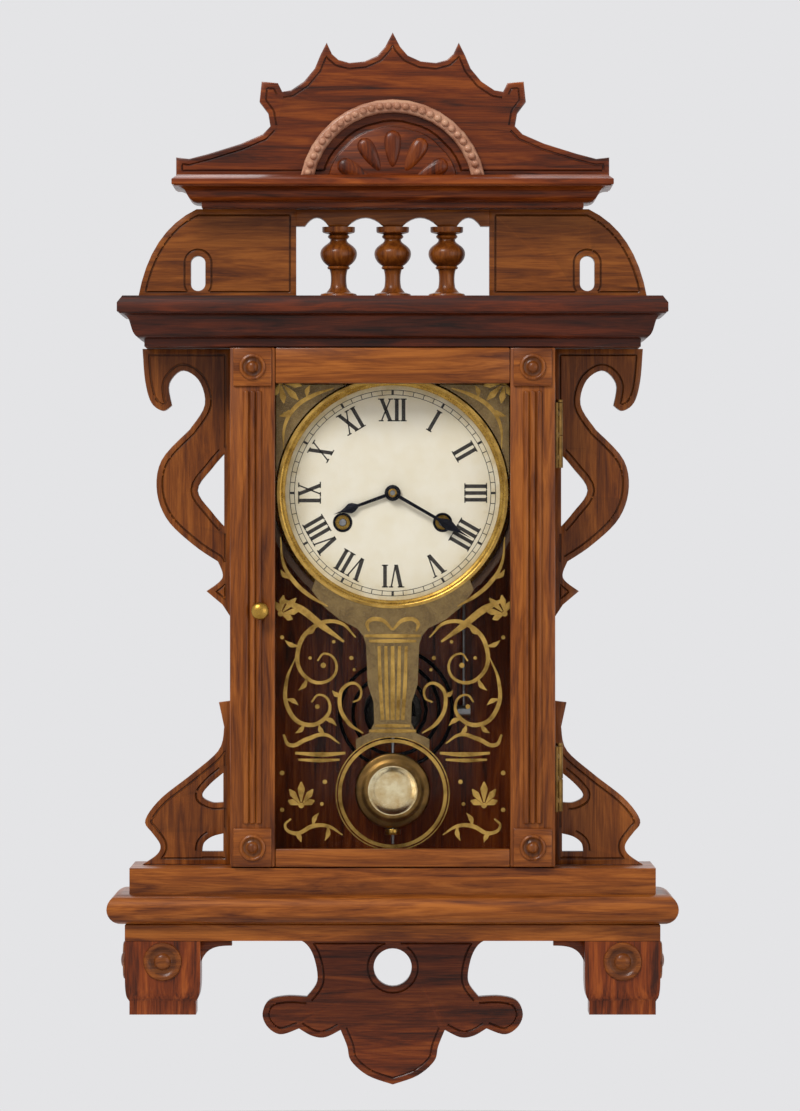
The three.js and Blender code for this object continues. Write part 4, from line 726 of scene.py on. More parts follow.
class CLOCK_OT_stage(bpy.types.Operator):
    """Pale floor, soft studio lamps and the camera"""

    bl_idname = "clock.stage"
    bl_label = "Stage"

    FLOOR_DROP = 0.12
    VIEW_HEIGHT = 0.7555  # what the frame shows from top to bottom at the dial
    VIEW_MIDDLE = (0.005, -0.0425)  # the frame's middle, from the dial's
    SENSOR = 36

    def execute(self, context):
        self.floor()
        self.world()
        self.lamps()
        self.camera()
        context.scene.view_settings.view_transform = "Standard"
        return {"FINISHED"}

    def floor(self):
        select_none()
        bpy.ops.mesh.primitive_circle_add(vertices=96, radius=1.3, fill_type="NGON",
                                          location=(0, 0, CAD_BOX[0][2] - self.FLOOR_DROP))
        floor = added("studio_floor")
        bpy.ops.object.transform_apply(location=True)
        floor.data.materials.append(backdrop_paper("studio_paper"))

    def world(self):
        world = bpy.data.worlds.new("studio")
        world.use_nodes = True
        tree = world.node_tree
        tree.nodes.clear()
        path = put(tree, "ShaderNodeLightPath")
        seen = put(tree, "ShaderNodeMath", {
            0: path.outputs["Is Camera Ray"], 1: path.outputs["Is Glossy Ray"]}, operation="MAXIMUM")
        seen = put(tree, "ShaderNodeMath", {0: seen, 1: path.outputs["Is Transmission Ray"]},
                   operation="MAXIMUM")
        pale = put(tree, "ShaderNodeBackground", {"Color": (*colours().backdrop, 1), "Strength": 1.0})
        soft = put(tree, "ShaderNodeBackground", {"Color": (*linear("#F4F1EC"), 1), "Strength": 0.4})
        mixed = put(tree, "ShaderNodeMixShader", {0: seen, 1: soft, 2: pale})
        put(tree, "ShaderNodeOutputWorld", {"Surface": mixed})
        bpy.context.scene.world = world

    def lamps(self):
        aim = Vector((0, -0.08, -0.05))
        for name, place, size, power in (
            ("key_lamp", (-1.3, -2.3, 2.2), 1.2, 78),
            ("fill_lamp", (2.0, -2.6, 0.2), 1.8, 15),
            ("top_lamp", (-0.3, 1.6, 2.2), 1.4, 22),
        ):
            select_none()
            bpy.ops.object.light_add(type="AREA", location=place)
            lamp = bpy.context.object
            lamp.name = name
            lamp.data.size = size
            lamp.data.energy = power
            lamp.rotation_euler = (aim - Vector(place)).to_track_quat("-Z", "Y").to_euler()

    def camera(self):
        distance = sizes().camera_distance
        across, up = self.VIEW_MIDDLE
        select_none()
        bpy.ops.object.camera_add(location=(across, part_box("dial_pan")[0].y - distance, up),
                                  rotation=FACING_FRONT)
        camera = bpy.context.object
        camera.data.sensor_fit = "VERTICAL"
        camera.data.sensor_height = self.SENSOR
        camera.data.lens = self.SENSOR * distance / self.VIEW_HEIGHT
        camera.data.clip_end = 30
        bpy.context.scene.camera = camera


# Case

class CLOCK_OT_carcass(bpy.types.Operator):
    """Backboard, side boards and hanger plate"""

    bl_idname = "clock.carcass"
    bl_label = "Carcass"

    SCREW_INSET = 6 * MM

    def execute(self, context):
        back = softened("backboard", "planed", 0.5 * MM, raw_deal(), "case", "deal")
        # The backboard's front is stained walnut, darker than the raw deal: a stain, and also painted shade
        # for the inside of the case behind the glass.
        paint_faces(back, stained_walnut("Z"), lambda face: face.normal.y < -0.9)
        for side in ("left", "right"):
            softened(f"side_board_{side}", "planed", 0.6 * MM, walnut("Z"), "case", "walnut")
        softened("hanger_plate", "stamped", 0.25 * MM, lacquered_brass(), "case", "brass", is_rim)
        low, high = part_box("hanger_plate")
        corners = [(x, high.y, z) for x in (low.x + self.SCREW_INSET, high.x - self.SCREW_INSET)
                   for z in (low.z + self.SCREW_INSET, high.z - self.SCREW_INSET)]
        flat_heads = [(0, -1.4), (1.2, -1.3), (2.7, 0), (2.7, 0.15), (0, 0.15)]
        screws = screw_heads("hanger_plate_screws", flat_heads, [
            (corner, (-math.pi / 2, turn, 0)) for turn, corner in enumerate(corners)])
        dress(screws, turned_steel(), "case", "steel")
        return {"FINISHED"}


def cornice_profile(height, inset):
    """Fillet, ogee, bead, fascia and chamfer."""
    foot, top, fascia = 0.15 * height, 0.65 * height, 0.86 * height
    ogee = curve_steps((-inset, foot), (-0.3 * inset, foot), (-0.7 * inset, top), (-1.6, top), 16)
    steps = [(-inset, 0), (-inset, foot), *ogee[1:], (-1.6, top + 0.8), (-0.5, top + 0.8), (0, top + 1.3)]
    return steps + [(0, fascia), (-0.2 * inset, height)]


def base_profile():
    """Plinth, torus between two quirks, and fascia."""
    foot, torus, step, height = 11.5, 10, 15, 49
    ring = []
    for number in range(15):
        turn = math.radians(-90 + 180 * number / 14)
        ring.append((-torus + torus * math.cos(turn), foot + torus + torus * math.sin(turn)))
    return [(-12, 0), (-12, foot - 1), (-13, foot), *ring, (-step, foot + 2 * torus), (-step, height)]


def block_profile():
    """Narrow foot that swells to the full block."""
    swell = curve_steps((-3, 10), (-1, 10), (0, 15), (0, 25), 10)
    return [(-3, 0), (-3, 9), (-2.6, 9.6), *swell[1:], (0, 49.7)]


def returns(face):
    return abs(face.normal.x) > 0.75


class CLOCK_OT_mouldings(bpy.types.Operator):
    """Two cornices, the base moulding and the blocks under its corners"""

    bl_idname = "clock.mouldings"
    bl_label = "Mouldings"

    BRACKET_REACH = 21 * MM
    ROUNDEL_HEIGHT = 36 * MM
    ROUNDEL_RADIUS = 13

    def execute(self, context):
        # Both cornices take darker timbers than the case: a stain, and also painted shade on their
        # downward-facing ogees; the lower one is the darkest.
        for node, inset, spread_back, timber in (
            ("lower_cornice", 18, False, ebonised_walnut),
            ("upper_cornice", 20, True, stained_walnut),
        ):
            low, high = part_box(node)
            self.moulding(node, cornice_profile((high.z - low.z) / MM, inset), spread_back, timber)
        self.moulding("base_moulding", base_profile(), False, walnut)
        for side, sign in (("left", -1), ("right", 1)):
            self.block(f"corner_block_{side}", side, sign)
        return {"FINISHED"}

    def moulding(self, node, profile, spread_back, timber):
        piece = moulded(f"{node}_moulded", *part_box(node), profile, spread_back)
        dress(piece, timber("X"), "case", "walnut", node)
        paint_faces(piece, timber("Y"), returns)

    def block(self, node, side, sign):
        low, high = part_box(node)
        inner = (low.x if sign > 0 else high.x) + sign * self.BRACKET_REACH
        if sign > 0:
            low.x = inner
        else:
            high.x = inner
        block = moulded(f"{node}_moulded", low, high, block_profile(), True)
        dress(block, stained_walnut("Z"), "case", "dark_walnut", node)
        self.bracket(f"corner_bracket_{side}", inner, sign, (low.y + high.y) / 2, high.z)
        self.roundels(side, sign, low, high)

    def bracket(self, name, inner, sign, middle, top):
        reach, drop, lip, thick = self.BRACKET_REACH / MM, 15, 3.75, 14 * MM
        hollow = curve_steps((reach, lip), (reach / 2, lip), (lip, lip + 1), (0, drop), 14)
        outline = [(-0.3, 0), (reach, 0), *hollow, (-0.3, drop)]
        places = [(inner - sign * x * MM, top - z * MM) for x, z in outline]
        piece = plate(name, places, middle + thick / 2, thick)
        round_edges(piece, 0.8 * MM, is_rim)
        dress(piece, stained_walnut("X"), "case", "dark_walnut")

    def roundels(self, side, sign, low, high):
        middle, height = (low + high) / 2, low.z + self.ROUNDEL_HEIGHT
        outer = high.x if sign > 0 else low.x
        for name, turn, place, axis in (
            ("front", FACING_FRONT, (middle.x, low.y, height), "X"),
            ("side", (0, sign * math.pi / 2, 0), (outer, middle.y, height), "Y"),
        ):
            boss = roundel(f"corner_roundel_{name}_{side}", self.ROUNDEL_RADIUS, turn, place)
            dress(boss, walnut(axis), "case", "walnut")


def roundel(name, radius, turn, place):
    """A turned boss: rim, hollow and button."""
    share = radius / 9
    profile = [(9, -0.4), (9, 0.6), (8.6, 1.5), (7.6, 1.9), (6.8, 1.5), (6.2, 0.7), (5, 0.4), (4, 0.9),
               (3.6, 1.8), (2.8, 2.7), (1.5, 3.2), (0, 3.4)]
    return turned(name, [(r * share, h * min(share, 1)) for r, h in profile], 40, turn, place)


class CLOCK_OT_gallery(bpy.types.Operator):
    """Gallery shoulders, turned spindles and the arcaded rail between the cornices"""

    bl_idname = "clock.gallery"
    bl_label = "Gallery"

    def execute(self, context):
        for side in ("left", "right"):
            node = f"gallery_shoulder_{side}"
            dress(carved_board(node), walnut("X"), "case", "walnut", node)
        rail = copy_of("gallery_rail", "gallery_rail_sawn")
        activate(rail, "EDIT")
        # The rail is let into the shoulders, and lies a little behind their faces.
        bpy.ops.transform.resize(value=(1.01, 0.97, 1), center_override=middle_of("gallery_rail"))
        round_edges(rail, sizes().edge_round, is_rim)
        dress(rail, walnut("X"), "case", "walnut", "gallery_rail")
        for number in (1, 2, 3):
            node = f"gallery_spindle_{number}"
            (low, high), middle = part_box(node), middle_of(node)
            spindle = turned(f"{node}_turned", self.profile((high.z - low.z) / MM), 40,
                             place=(middle.x, middle.y, low.z))
            dress(spindle, walnut("Z"), "case", "walnut", node)
        return {"FINISHED"}

    def profile(self, height):
        """Foot, slim stem, ring, ball, collar and cap: radius in millimetres and share of the height."""
        foot = [(12.5, 0), (12.5, 0.05), (12, 0.065), (10.4, 0.072), (8.3, 0.085), (7.8, 0.1),
                (7.3, 0.112)]
        stem = curve_steps((5.9, 0.15), (5, 0.22), (5, 0.34), (6.2, 0.405), 8)
        ring = [(7.3, 0.412), (7.8, 0.43), (7.3, 0.448)]
        ball = curve_steps((7, 0.455), (11.2, 0.5), (13.8, 0.6), (12, 0.68), 10)
        neck = curve_steps((12, 0.68), (10.4, 0.745), (6.8, 0.765), (5.8, 0.805), 8)
        collar = [(5.7, 0.825), (6.4, 0.838), (7.2, 0.852), (7.4, 0.868), (7, 0.884), (6.2, 0.895)]
        cap = [(9.4, 0.912), (10.8, 0.922), (11.2, 0.94), (11.2, 1)]
        return [(radius, share * height) for radius, share in (
            *foot, *stem, *ring, *ball, *neck[1:], *collar, *cap)]


class CLOCK_OT_crest(bpy.types.Operator):
    """Spiked crest board with its carved fan and pearled arch"""

    bl_idname = "clock.crest"
    bl_label = "Crest"

    ARCH_RADIUS = 64 * MM
    ARCH_WIDTH = 9 * MM
    PETAL_TURN = 30.2
    PEARLS = 28
    PEARL_START, PEARL_SWEEP = 13.5, 153

    def execute(self, context):
        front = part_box("gallery_shoulder_left")[0].y
        board = carved_board("crest_board", front)
        dress(board, stained_walnut("X"), "case", "dark_walnut", "crest_board")
        low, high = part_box("crest_arch_bead")
        middle = Vector((0, low.y, high.z - self.ARCH_RADIUS))
        self.fan(middle)
        self.arch(middle)
        return {"FINISHED"}

    def fan(self, middle):
        select_none()
        bpy.ops.mesh.primitive_cone_add(vertices=16, radius1=2.2 * MM, radius2=9.6 * MM, depth=29 * MM,
                                        location=(0, 0, 30 * MM))
        petal = added("fan_petal")
        petal.scale = (1, 0.46, 1)
        bpy.ops.object.transform_apply(location=True, scale=True)
        modified(petal, "SUBSURF", levels=2, render_levels=2)
        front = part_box("crest_board")[0].y
        places = [((0, front + 0.5 * MM, middle.z), (0, math.radians(step * self.PETAL_TURN), 0))
                  for step in (-2, -1, 0, 1, 2)]
        fan = copies("crest_fan_petals", petal, places)
        close_up(fan)
        dress(fan, stained_walnut("Z"), "case", "dark_walnut")

    def arch(self, middle):
        arch = copy_of("crest_arch_bead", "crest_arch_rounded")
        round_edges(arch, 2.6 * MM, is_rim, 4)
        dress(arch, pearwood(), "case", "walnut", "crest_arch_bead")
        select_none()
        bpy.ops.mesh.primitive_uv_sphere_add(segments=16, ring_count=10, radius=sizes().pearl_radius)
        pearl = added("arch_pearl")
        ring = self.ARCH_RADIUS - self.ARCH_WIDTH / 2
        places = []
        for number in range(self.PEARLS):
            turn = math.radians(self.PEARL_START + self.PEARL_SWEEP * number / (self.PEARLS - 1))
            spot = (ring * math.cos(turn), middle.y, middle.z + ring * math.sin(turn))
            places.append((spot, (0, 0, 0)))
        dress(copies("crest_arch_pearls", pearl, places), pearwood(), "case", "walnut")


class CLOCK_OT_fretwork(bpy.types.Operator):
    """Ears, wings and apron"""

    bl_idname = "clock.fretwork"
    bl_label = "Fretwork"

    def execute(self, context):
        for side in ("left", "right"):
            for name in ("ear", "wing"):
                node = f"{name}_{side}"
                dress(carved_board(node), walnut("Z"), "case", "walnut", node)
        dress(carved_board("apron"), stained_walnut("X"), "case", "dark_walnut", "apron")
        return {"FINISHED"}


# Door

class CLOCK_OT_door(bpy.types.Operator):
    """Door frame with reeded stiles and corner roundels, its glass, hinges and latch"""

    bl_idname = "clock.door"
    bl_label = "Door"

    FRAME_ROUND = 0.8 * MM
    CORNER_HALF = 13 * MM
    CORNER_THICK = 4 * MM
    REED_END = 3 * MM
    LATCH_HEIGHT = -80 * MM
    KNOB_REACH = 12

    def execute(self, context):
        for side in ("left", "right"):
            self.stile(side)
        for name in ("top", "bottom"):
            softened(f"door_rail_{name}", "planed", self.FRAME_ROUND, walnut("X"), "door", "walnut")
        refinish("door_glass", finish("sheet_glass", window_glass))
        self.hinges()
        self.latch()
        return {"FINISHED"}

    def stile(self, side):
        node = f"door_stile_{side}"
        softened(node, "planed", self.FRAME_ROUND, walnut("Z"), "door", "walnut")
        low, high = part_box(node)
        middle, front, half = (low.x + high.x) / 2, low.y, self.CORNER_HALF
        ends = 2 * half + self.REED_END
        self.reeds(side, middle, front, low.z + ends, high.z - ends)
        for name, height in (("top", high.z - half), ("bottom", low.z + half)):
            self.corner(f"stile_corner_{name}_{side}", middle, front, height)

    def reeds(self, side, middle, front, bottom, top):
        radius = sizes().reed_radius
        select_none()
        bpy.ops.mesh.primitive_cylinder_add(vertices=20, radius=radius, depth=top - bottom,
                                            location=(0, 0, (bottom + top) / 2))
        reed = added("stile_reed")
        bpy.ops.object.transform_apply(location=True)
        round_edges(reed, 1.2 * MM, is_sharp, 3)
        places = [((middle + step * 2.1 * radius, front, 0), (0, 0, 0)) for step in (-1, 0, 1)]
        dress(copies(f"stile_reeds_{side}", reed, places), walnut("Z"), "door", "walnut")

    def corner(self, name, middle, front, height):
        size = (2 * self.CORNER_HALF, self.CORNER_THICK, 2 * self.CORNER_HALF)
        block = squared(f"{name}_block", size, (middle, front, height))
        round_edges(block, self.FRAME_ROUND)
        dress(block, walnut("X"), "door", "walnut")
        boss = roundel(f"{name}_roundel", sizes().roundel_radius / MM, FACING_FRONT,
                       (middle, front - self.CORNER_THICK / 2, height))
        dress(boss, walnut("Z"), "door", "walnut")

    def hinges(self):
        for name in ("upper", "lower"):
            for body in ("case", "door"):
                node = f"hinge_{body}_leaf_{name}"
                softened(node, "stamped", 0.3 * MM, aged_brass(), body, "brass")
                self.screws(node, body)
            softened(f"hinge_pin_{name}", "turned", 0.3 * MM, aged_brass(), "case", "brass")

    def screws(self, leaf, body):
        """Three screws with round heads, down the middle of a leaf."""
        low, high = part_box(leaf)
        face = low.x + 1.5 * MM
        along = high.y - 10 * MM if body == "case" else low.y + 7 * MM
        centre = (low.z + high.z) / 2
        places = [((face, along, centre + step * 15 * MM), (0, math.pi / 2, 0)) for step in (-1, 0, 1)]
        round_heads = [(2.4, -0.5), (2.4, 0.1), (2, 0.7), (1.2, 1.1), (0, 1.25)]
        dress(screw_heads(f"{leaf}_screws", round_heads, places), aged_brass(), body, "brass")

    def latch(self):
        low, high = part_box("latch_knob")
        middle = (low.x + high.x) / 2
        place = (middle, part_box("door_stile_left")[0].y - 0.3 * MM, self.LATCH_HEIGHT)
        swell = curve_steps((2.7, 4.6), (3.2, 6), (6.4, 6.4), (5.9, 9.2), 8)
        dome = curve_steps((5.9, 9.2), (5.5, 10.8), (2.6, self.KNOB_REACH), (0, self.KNOB_REACH), 8)
        shaft = self.KNOB_REACH - (high.y - low.y) / MM
        profile = [(2, shaft), (2, 0), (4.8, 0), (4.8, 1.4), (3.4, 2.2), (2.7, 3), *swell, *dome[1:]]
        knob = turned("latch_knob_turned", profile, 40, FACING_FRONT, place)
        width, thick, reach = 4.4 * MM, 1.5 * MM, 8.2 * MM
        tongue = squared("latch_tongue", (width, thick, reach),
                         (middle, high.y - thick / 2, self.LATCH_HEIGHT + 1.9 * MM))
        round_edges(tongue, 0.3 * MM)
        latch = joined("latch_knob_turned", [knob, tongue])
        dress(latch, lacquered_brass(), "latch", "brass", "latch_knob")
        softened("latch_keeper", "bent", 0.25 * MM, lacquered_brass(), "case", "brass")


# Dial

LETTERS = {"I": 4.6, "V": 10.4, "X": 10.2}
HOURS = ("I", "II", "III", "IIII", "V", "VI", "VII", "VIII", "IX", "X", "XI", "XII")


class CLOCK_OT_dial(bpy.types.Operator):
    """Dial paper, printed numerals and minute track, winding collars, bezel and hands"""

    bl_idname = "clock.dial"
    bl_label = "Dial"

    PRINT_THICK = 0.12 * MM
    PRINT_LIFT = 0.04 * MM  # middle of the print over the paper
    MARK_LIFT = 0.05 * MM
    SERIF = 0.8
    TRACK_IN, TRACK_OUT = 1.7, 1.5

    def execute(self, context):
        refinish("dial_pan", finish("aged_dial_paper", aged_paper))
        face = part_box("dial_pan")[0].y
        ink = finish("printing_ink", printing_ink)
        dress(self.numerals(face), ink, "case", "dial_paper")
        dress(self.track(face), ink, "case", "dial_paper")
        self.collars(face)
        self.bezel()
        self.hands()
        return {"FINISHED"}

    def stroke(self, name, corners):
        """A flat stroke of a letter, from a plane set to its four corners in millimetres."""
        select_none()
        bpy.ops.mesh.primitive_plane_add(size=1)
        piece = added(name)
        for vertex, (x, z) in zip(piece.data.vertices, corners):
            vertex.co = (x * MM, 0, z * MM)
        modified(piece, "SOLIDIFY", thickness=self.PRINT_THICK, offset=0)
        close_up(piece)
        return piece

    def bar(self, name, x0, z0, x1, z1, width):
        return self.stroke(name, [(x0 - width / 2, z0), (x0 + width / 2, z0),
                                  (x1 - width / 2, z1), (x1 + width / 2, z1)])

    def letter(self, name):
        half = sizes().numeral_height / MM / 2
        serif = half - self.SERIF
        bars = {
            "I": [(0, -half, 0, half, 2.5), (0, serif, 0, half, 4.2), (0, -half, 0, -serif, 4.2)],
            "V": [(-3.3, half, 0, -half, 2.6), (3.3, half, 0.4, -half, 1.0),
                  (-3.4, serif, -3.4, half, 4.4), (3.4, serif, 3.4, half, 3.0)],
            "X": [(-3.1, half, 3.1, -half, 2.6), (3.1, half, -3.1, -half, 1.0),
                  (-3.2, serif, -3.2, half, 4.2), (3.2, serif, 3.2, half, 3.2),
                  (-3.2, -half, -3.2, -serif, 3.2), (3.2, -half, 3.2, -serif, 4.2)],
        }[name]
        return joined(f"letter_{name}", [self.bar(f"bar_{name}_{i}", *bar) for i, bar in enumerate(bars)])

    def numerals(self, face):
        places = {name: [] for name in LETTERS}
        ring = sizes().numeral_ring
        for hour, word in enumerate(HOURS, 1):
            turn = math.radians(30 * hour)
            across = -sum(LETTERS[name] for name in word) / 2
            for name in word:
                offset = (across + LETTERS[name] / 2) * MM
                across += LETTERS[name]
                spot = Matrix.Rotation(turn, 4, "Y") @ Vector((offset, 0, ring))
                places[name].append(((spot.x, face - self.PRINT_LIFT, spot.z), (0, turn, 0)))
        return joined("dial_numerals", [
            copies(f"letters_{name}", self.letter(name), places[name]) for name in LETTERS])

    def track(self, face):
        ring = sizes().track_ring / MM
        inner, outer = ring - self.TRACK_IN, ring + self.TRACK_OUT
        made = [self.ring_line("track_inner", inner, face), self.ring_line("track_outer", outer, face)]
        for name, count, width, lift in (
            ("track_ticks", 60, 0.5, self.PRINT_LIFT), ("track_marks", 12, 1.6, self.MARK_LIFT),
        ):
            places = [((0, face - lift, 0), (0, math.tau * step / count, 0)) for step in range(count)]
            made.append(copies(name, self.bar("track_line", 0, inner, 0, outer, width), places))
        return joined("dial_minute_track", made)

    def ring_line(self, name, radius, face):
        line = [(radius, 0), (radius + 0.4, 0), (radius + 0.4, 0.1), (radius, 0.1), (radius, 0)]
        return turned(name, line, 120, FACING_FRONT, (0, face, 0))

    def collars(self, face):
        made = []
        profile = [(4.9, -0.6), (6.6, -0.1), (6.6, 0.3), (6.1, 0.7), (5.4, 0.7), (4.9, 0.3), (4.9, -0.6)]
        for winder in ("time_arbor", "strike_arbor"):
            middle = middle_of(winder)
            made.append(turned(f"{winder}_collar", profile, 32, FACING_FRONT, (middle.x, face, middle.z)))
        dress(joined("dial_winding_collars", made), blued_steel(), "case", "blued_steel")

    def bezel(self):
        profile = [(73, 0), (81, 0), (81, 1.6), (80.2, 2.2), (79.4, 3), (78.2, 3.8), (77, 4), (76, 3.7),
                   (75.2, 2.9), (74.4, 2.2), (73.4, 1.8), (73, 1.4), (73, 0)]
        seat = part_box("dial_bezel")[1].y
        bezel = turned("dial_bezel_spun", profile, 128, FACING_FRONT, (0, seat, 0))
        dress(bezel, lacquered_brass(), "case", "brass", "dial_bezel")

    def hands(self):
        for name in ("hour", "minute"):
            softened(f"{name}_hand", "filed", 0.25 * MM, blued_steel(), name, "blued_steel", is_rim)
        softened("hand_nut", "turned", 0.25 * MM, lacquered_brass(), "minute", "brass")


# Gilding on the glass, in millimetres from the dial's middle: x, z and share of the broadest stroke
SCROLLS = (
    ((25, -98, 0.3), (36, -88, 0.8), (52, -90, 1.0), (64, -106, 1.0), (60, -124, 0.9), (45, -128, 0.7),
     (38, -117, 0.6), (46, -109, 0.5), (51, -114, 0.4)),
    ((66, -112, 0.2), (72, -128, 0.8), (71, -146, 1.0), (60, -157, 1.0), (46, -153, 0.9), (43, -142, 0.6),
     (50, -137, 0.5), (55, -142, 0.4)),
    ((20, -163, 0.3), (30, -156, 0.9), (36, -142, 0.9), (32, -131, 0.8), (24, -130, 0.6), (22, -139, 0.5),
     (27, -142, 0.4)),
    ((36, -170, 0.3), (46, -164, 0.8), (58, -167, 1.0), (70, -171, 0.9), (74, -164, 0.5)),
    ((34, -232, 0.3), (44, -226, 0.8), (54, -226, 1.0), (66, -231, 0.9), (73, -226, 0.6), (69, -221, 0.4)),
    ((74, 30, 0.2), (73, 46, 0.7), (66, 58, 1.0), (54, 66, 0.9), (40, 71, 0.3)),
    ((76, -30, 0.2), (74, -48, 0.7), (67, -60, 1.0), (56, -70, 0.9), (44, -77, 0.3)),
    ((74, -73, 0.7), (62, -79, 1.7), (48, -90, 1.5), (33, -101, 0.5)),
    ((32, -176.5, 0.6), (48, -177.5, 1.1), (66, -176.5, 0.6)),
    ((36, -181, 0.5), (50, -181.5, 0.9), (64, -181, 0.5)),
)
LEAVES = (
    ((64, -104), (73, -100)), ((58, -126), (64, -134)), ((72, -140), (64, -144)), ((47, -153), (38, -158)),
    ((60, -157), (66, -163)), ((35, -138), (41, -134)), ((54, -226), (50, -217)), ((44, -226), (46, -236)),
    ((70, 56), (77, 52)), ((58, 65), (56, 73)), ((70, -58), (76, -52)), ((52, -90), (60, -96)),
    ((66, -231), (62, -237)), ((46, -164), (50, -157)),
)
DOTS = ((47, -117, 1.8), (51, -145, 1.6), (28, -112, 1.4), (26, -120, 1.1), (40, -101, 1.2),
        (56, -112, 1.2), (75, -190, 1.6), (46, -196, 1.5), (75, -215, 1.5), (48, -211, 1.3), (75, -98, 1.4))
PALMETTES = ((62, -212, 0, 16), (76, 75, -135, 17), (76, -82, -45, 15))


class CLOCK_OT_gilding(bpy.types.Operator):
    """Gilt scrolls, palmettes, column and rings on the back of the door glass"""

    bl_idname = "clock.gilding"
    bl_label = "Gilding"

    DIAL_RING = 76.6
    WINDOW_RING = 34.6
    GILT_GAP = 0.15 * MM  # glass to the middle of the gilding
    GROUND_GAP = 0.35 * MM  # gilding to the back of the bronze
    GROUND_THICK = 0.12 * MM
    GROUND_MARGIN = 0.6  # door's frame to the bronze
    FLATNESS = 0.08

    def execute(self, context):
        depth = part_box("door_glass")[1].y + self.GILT_GAP
        window = middle_of("pendulum_bob").z / MM
        strokes = self.column()
        for mirror in (1, -1):
            for scroll in SCROLLS:
                strokes.append(self.stroke([(mirror * x, z, share) for x, z, share in scroll]))
            for start, end in LEAVES:
                strokes.append(self.leaf(start, end, mirror))
            for x, z, radius in DOTS:
                strokes.append(self.dot(mirror * x, z, radius))
            for palmette in PALMETTES:
                strokes += self.palmette(*palmette, mirror)
        scrolls = joined("gilt_scrolls", strokes)
        settle(scrolls, place=(0, depth, 0))
        dress(scrolls, gilding(), "door", "brass")
        rings = [
            self.ring(0, self.DIAL_RING, 1.8, depth),
            self.ring(window, self.WINDOW_RING, 2.4, depth),
            self.ring(window, self.WINDOW_RING + 3.4, 0.7, depth),
        ]
        dress(joined("gilt_rings", rings), gilding(), "door", "brass")
        grounds = [self.corner_ground(mirror, depth) for mirror in (1, -1)]
        grounds.append(self.column_ground(window, depth))
        bronze = finish("bronze_powder_on_glass", bronze_paint)
        dress(joined("tablet_ground", grounds), bronze, "door", "brass")
        return {"FINISHED"}

    def stroke(self, points):
        """A brush stroke: a curve of round section that swells and thins, pressed flat."""
        select_none()
        bpy.ops.curve.primitive_bezier_curve_add()
        curve = bpy.context.object.data
        curve.bevel_depth = sizes().gilt_line
        curve.bevel_resolution = 1
        curve.resolution_u = 5
        line = curve.splines[0]
        line.bezier_points.add(len(points) - 2)
        for knot, (x, z, share) in zip(line.bezier_points, points):
            knot.co = (x * MM, 0, z * MM)
            knot.radius = share
            knot.handle_left_type = knot.handle_right_type = "AUTO"
        curve.use_fill_caps = True
        bpy.ops.object.convert(target="MESH")
        piece = added("gilt_stroke")
        close_up(piece)
        piece.scale = (1, self.FLATNESS, 1)
        bpy.ops.object.transform_apply(location=True, rotation=True, scale=True)
        return piece

    def leaf(self, start, end, mirror):
        (x0, z0), (x1, z1) = start, end
        lean = 0.12
        middle = ((x0 + x1) / 2 + lean * (z1 - z0), (z0 + z1) / 2 - lean * (x1 - x0))
        points = [(x0, z0, 0.3), (*middle, 1.15), (x1, z1, 0.1)]
        return self.stroke([(mirror * x, z, share) for x, z, share in points])

    def palmette(self, x, z, turn, reach, mirror):
        """Five petals that spread from one point, the longest in the middle."""
        petals = [self.dot(mirror * x, z, 1.9)]
        for spread, share in ((-70, 0.6), (-36, 0.85), (0, 1), (36, 0.85), (70, 0.6)):
            angle = math.radians(turn + spread)
            along = [(step * share * reach, width) for step, width in ((0.15, 0.3), (0.7, 1.5), (1, 0.3))]
            petals.append(self.stroke([
                (mirror * (x + far * math.sin(angle)), z + far * math.cos(angle), width)
                for far, width in along]))
        return petals

    def dot(self, x, z, radius):
        profile = [(radius, -0.1), (radius, 0.1), (0, 0.12)]
        return turned("gilt_dot", profile, 16, FACING_FRONT, (x * MM, 0, z * MM))

    def column(self):
        """The gilt lines of a fluted column with its foot and capital."""
        strokes = []
        for flute in (-2, -1, 0, 1, 2):
            strokes.append(self.stroke([
                (flute * 4.6, -104, 0.7), (flute * 4.2, -130, 0.85), (flute * 3.4, -154, 0.8)]))
        for z, half in ((-100.5, 16), (-97, 19), (-158, 12), (-161.5, 16)):
            strokes.append(self.stroke([(-half, z, 0.6), (0, z, 0.9), (half, z, 0.6)]))
        for mirror in (1, -1):
            strokes.append(self.stroke([(mirror * x, z, share) for x, z, share in (
                (0, -93, 0.5), (8, -86, 1.0), (17, -88, 0.9), (16, -94, 0.4))]))
        return strokes

    def corner_ground(self, mirror, depth):
        """The bronzed ground of a corner over the dial, inside the door's frame."""
        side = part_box("door_stile_right")[0].x / MM - self.GROUND_MARGIN
        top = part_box("door_rail_top")[0].z / MM - self.GROUND_MARGIN
        ring, steps = self.DIAL_RING + 3, 18
        first, last = math.acos(min(1, top / ring)), math.asin(min(1, side / ring))
        turns = [first + (last - first) * step / steps for step in range(steps + 1)]
        corner = [(mirror * ring * math.sin(turn), ring * math.cos(turn)) for turn in turns]
        return self.ground("corner_ground", [*corner, (mirror * side, top)], depth)

    def column_ground(self, window, depth):
        """The bronzed ground of the column, from the drape under the dial to the top of the window."""
        dial, ring = self.DIAL_RING + 1, self.WINDOW_RING + 4
        under_dial = [(dial * math.sin(turn), -dial * math.cos(turn))
                      for turn in (math.radians(4.2 * step) for step in range(11))]
        side = [(55, -66), (47, -77), (36, -86), (24, -92), (20, -97), (18, -103), (17, -130), (13, -142),
                (12.5, -156), (16, -163), (25, -167)]
        over_window = [(ring * math.sin(turn), window + ring * math.cos(turn))
                       for turn in (math.radians(5 * step) for step in range(8, -1, -1))]
        half = [*under_dial, *side, *over_window]
        left = [(-x, z) for x, z in reversed(half[1:-1])]
        return self.ground("column_ground", [*half, *left], depth)

    def ground(self, name, outline, depth):
        places = [(x * MM, z * MM) for x, z in outline]
        return plate(name, places, depth + self.GROUND_GAP, self.GROUND_THICK)

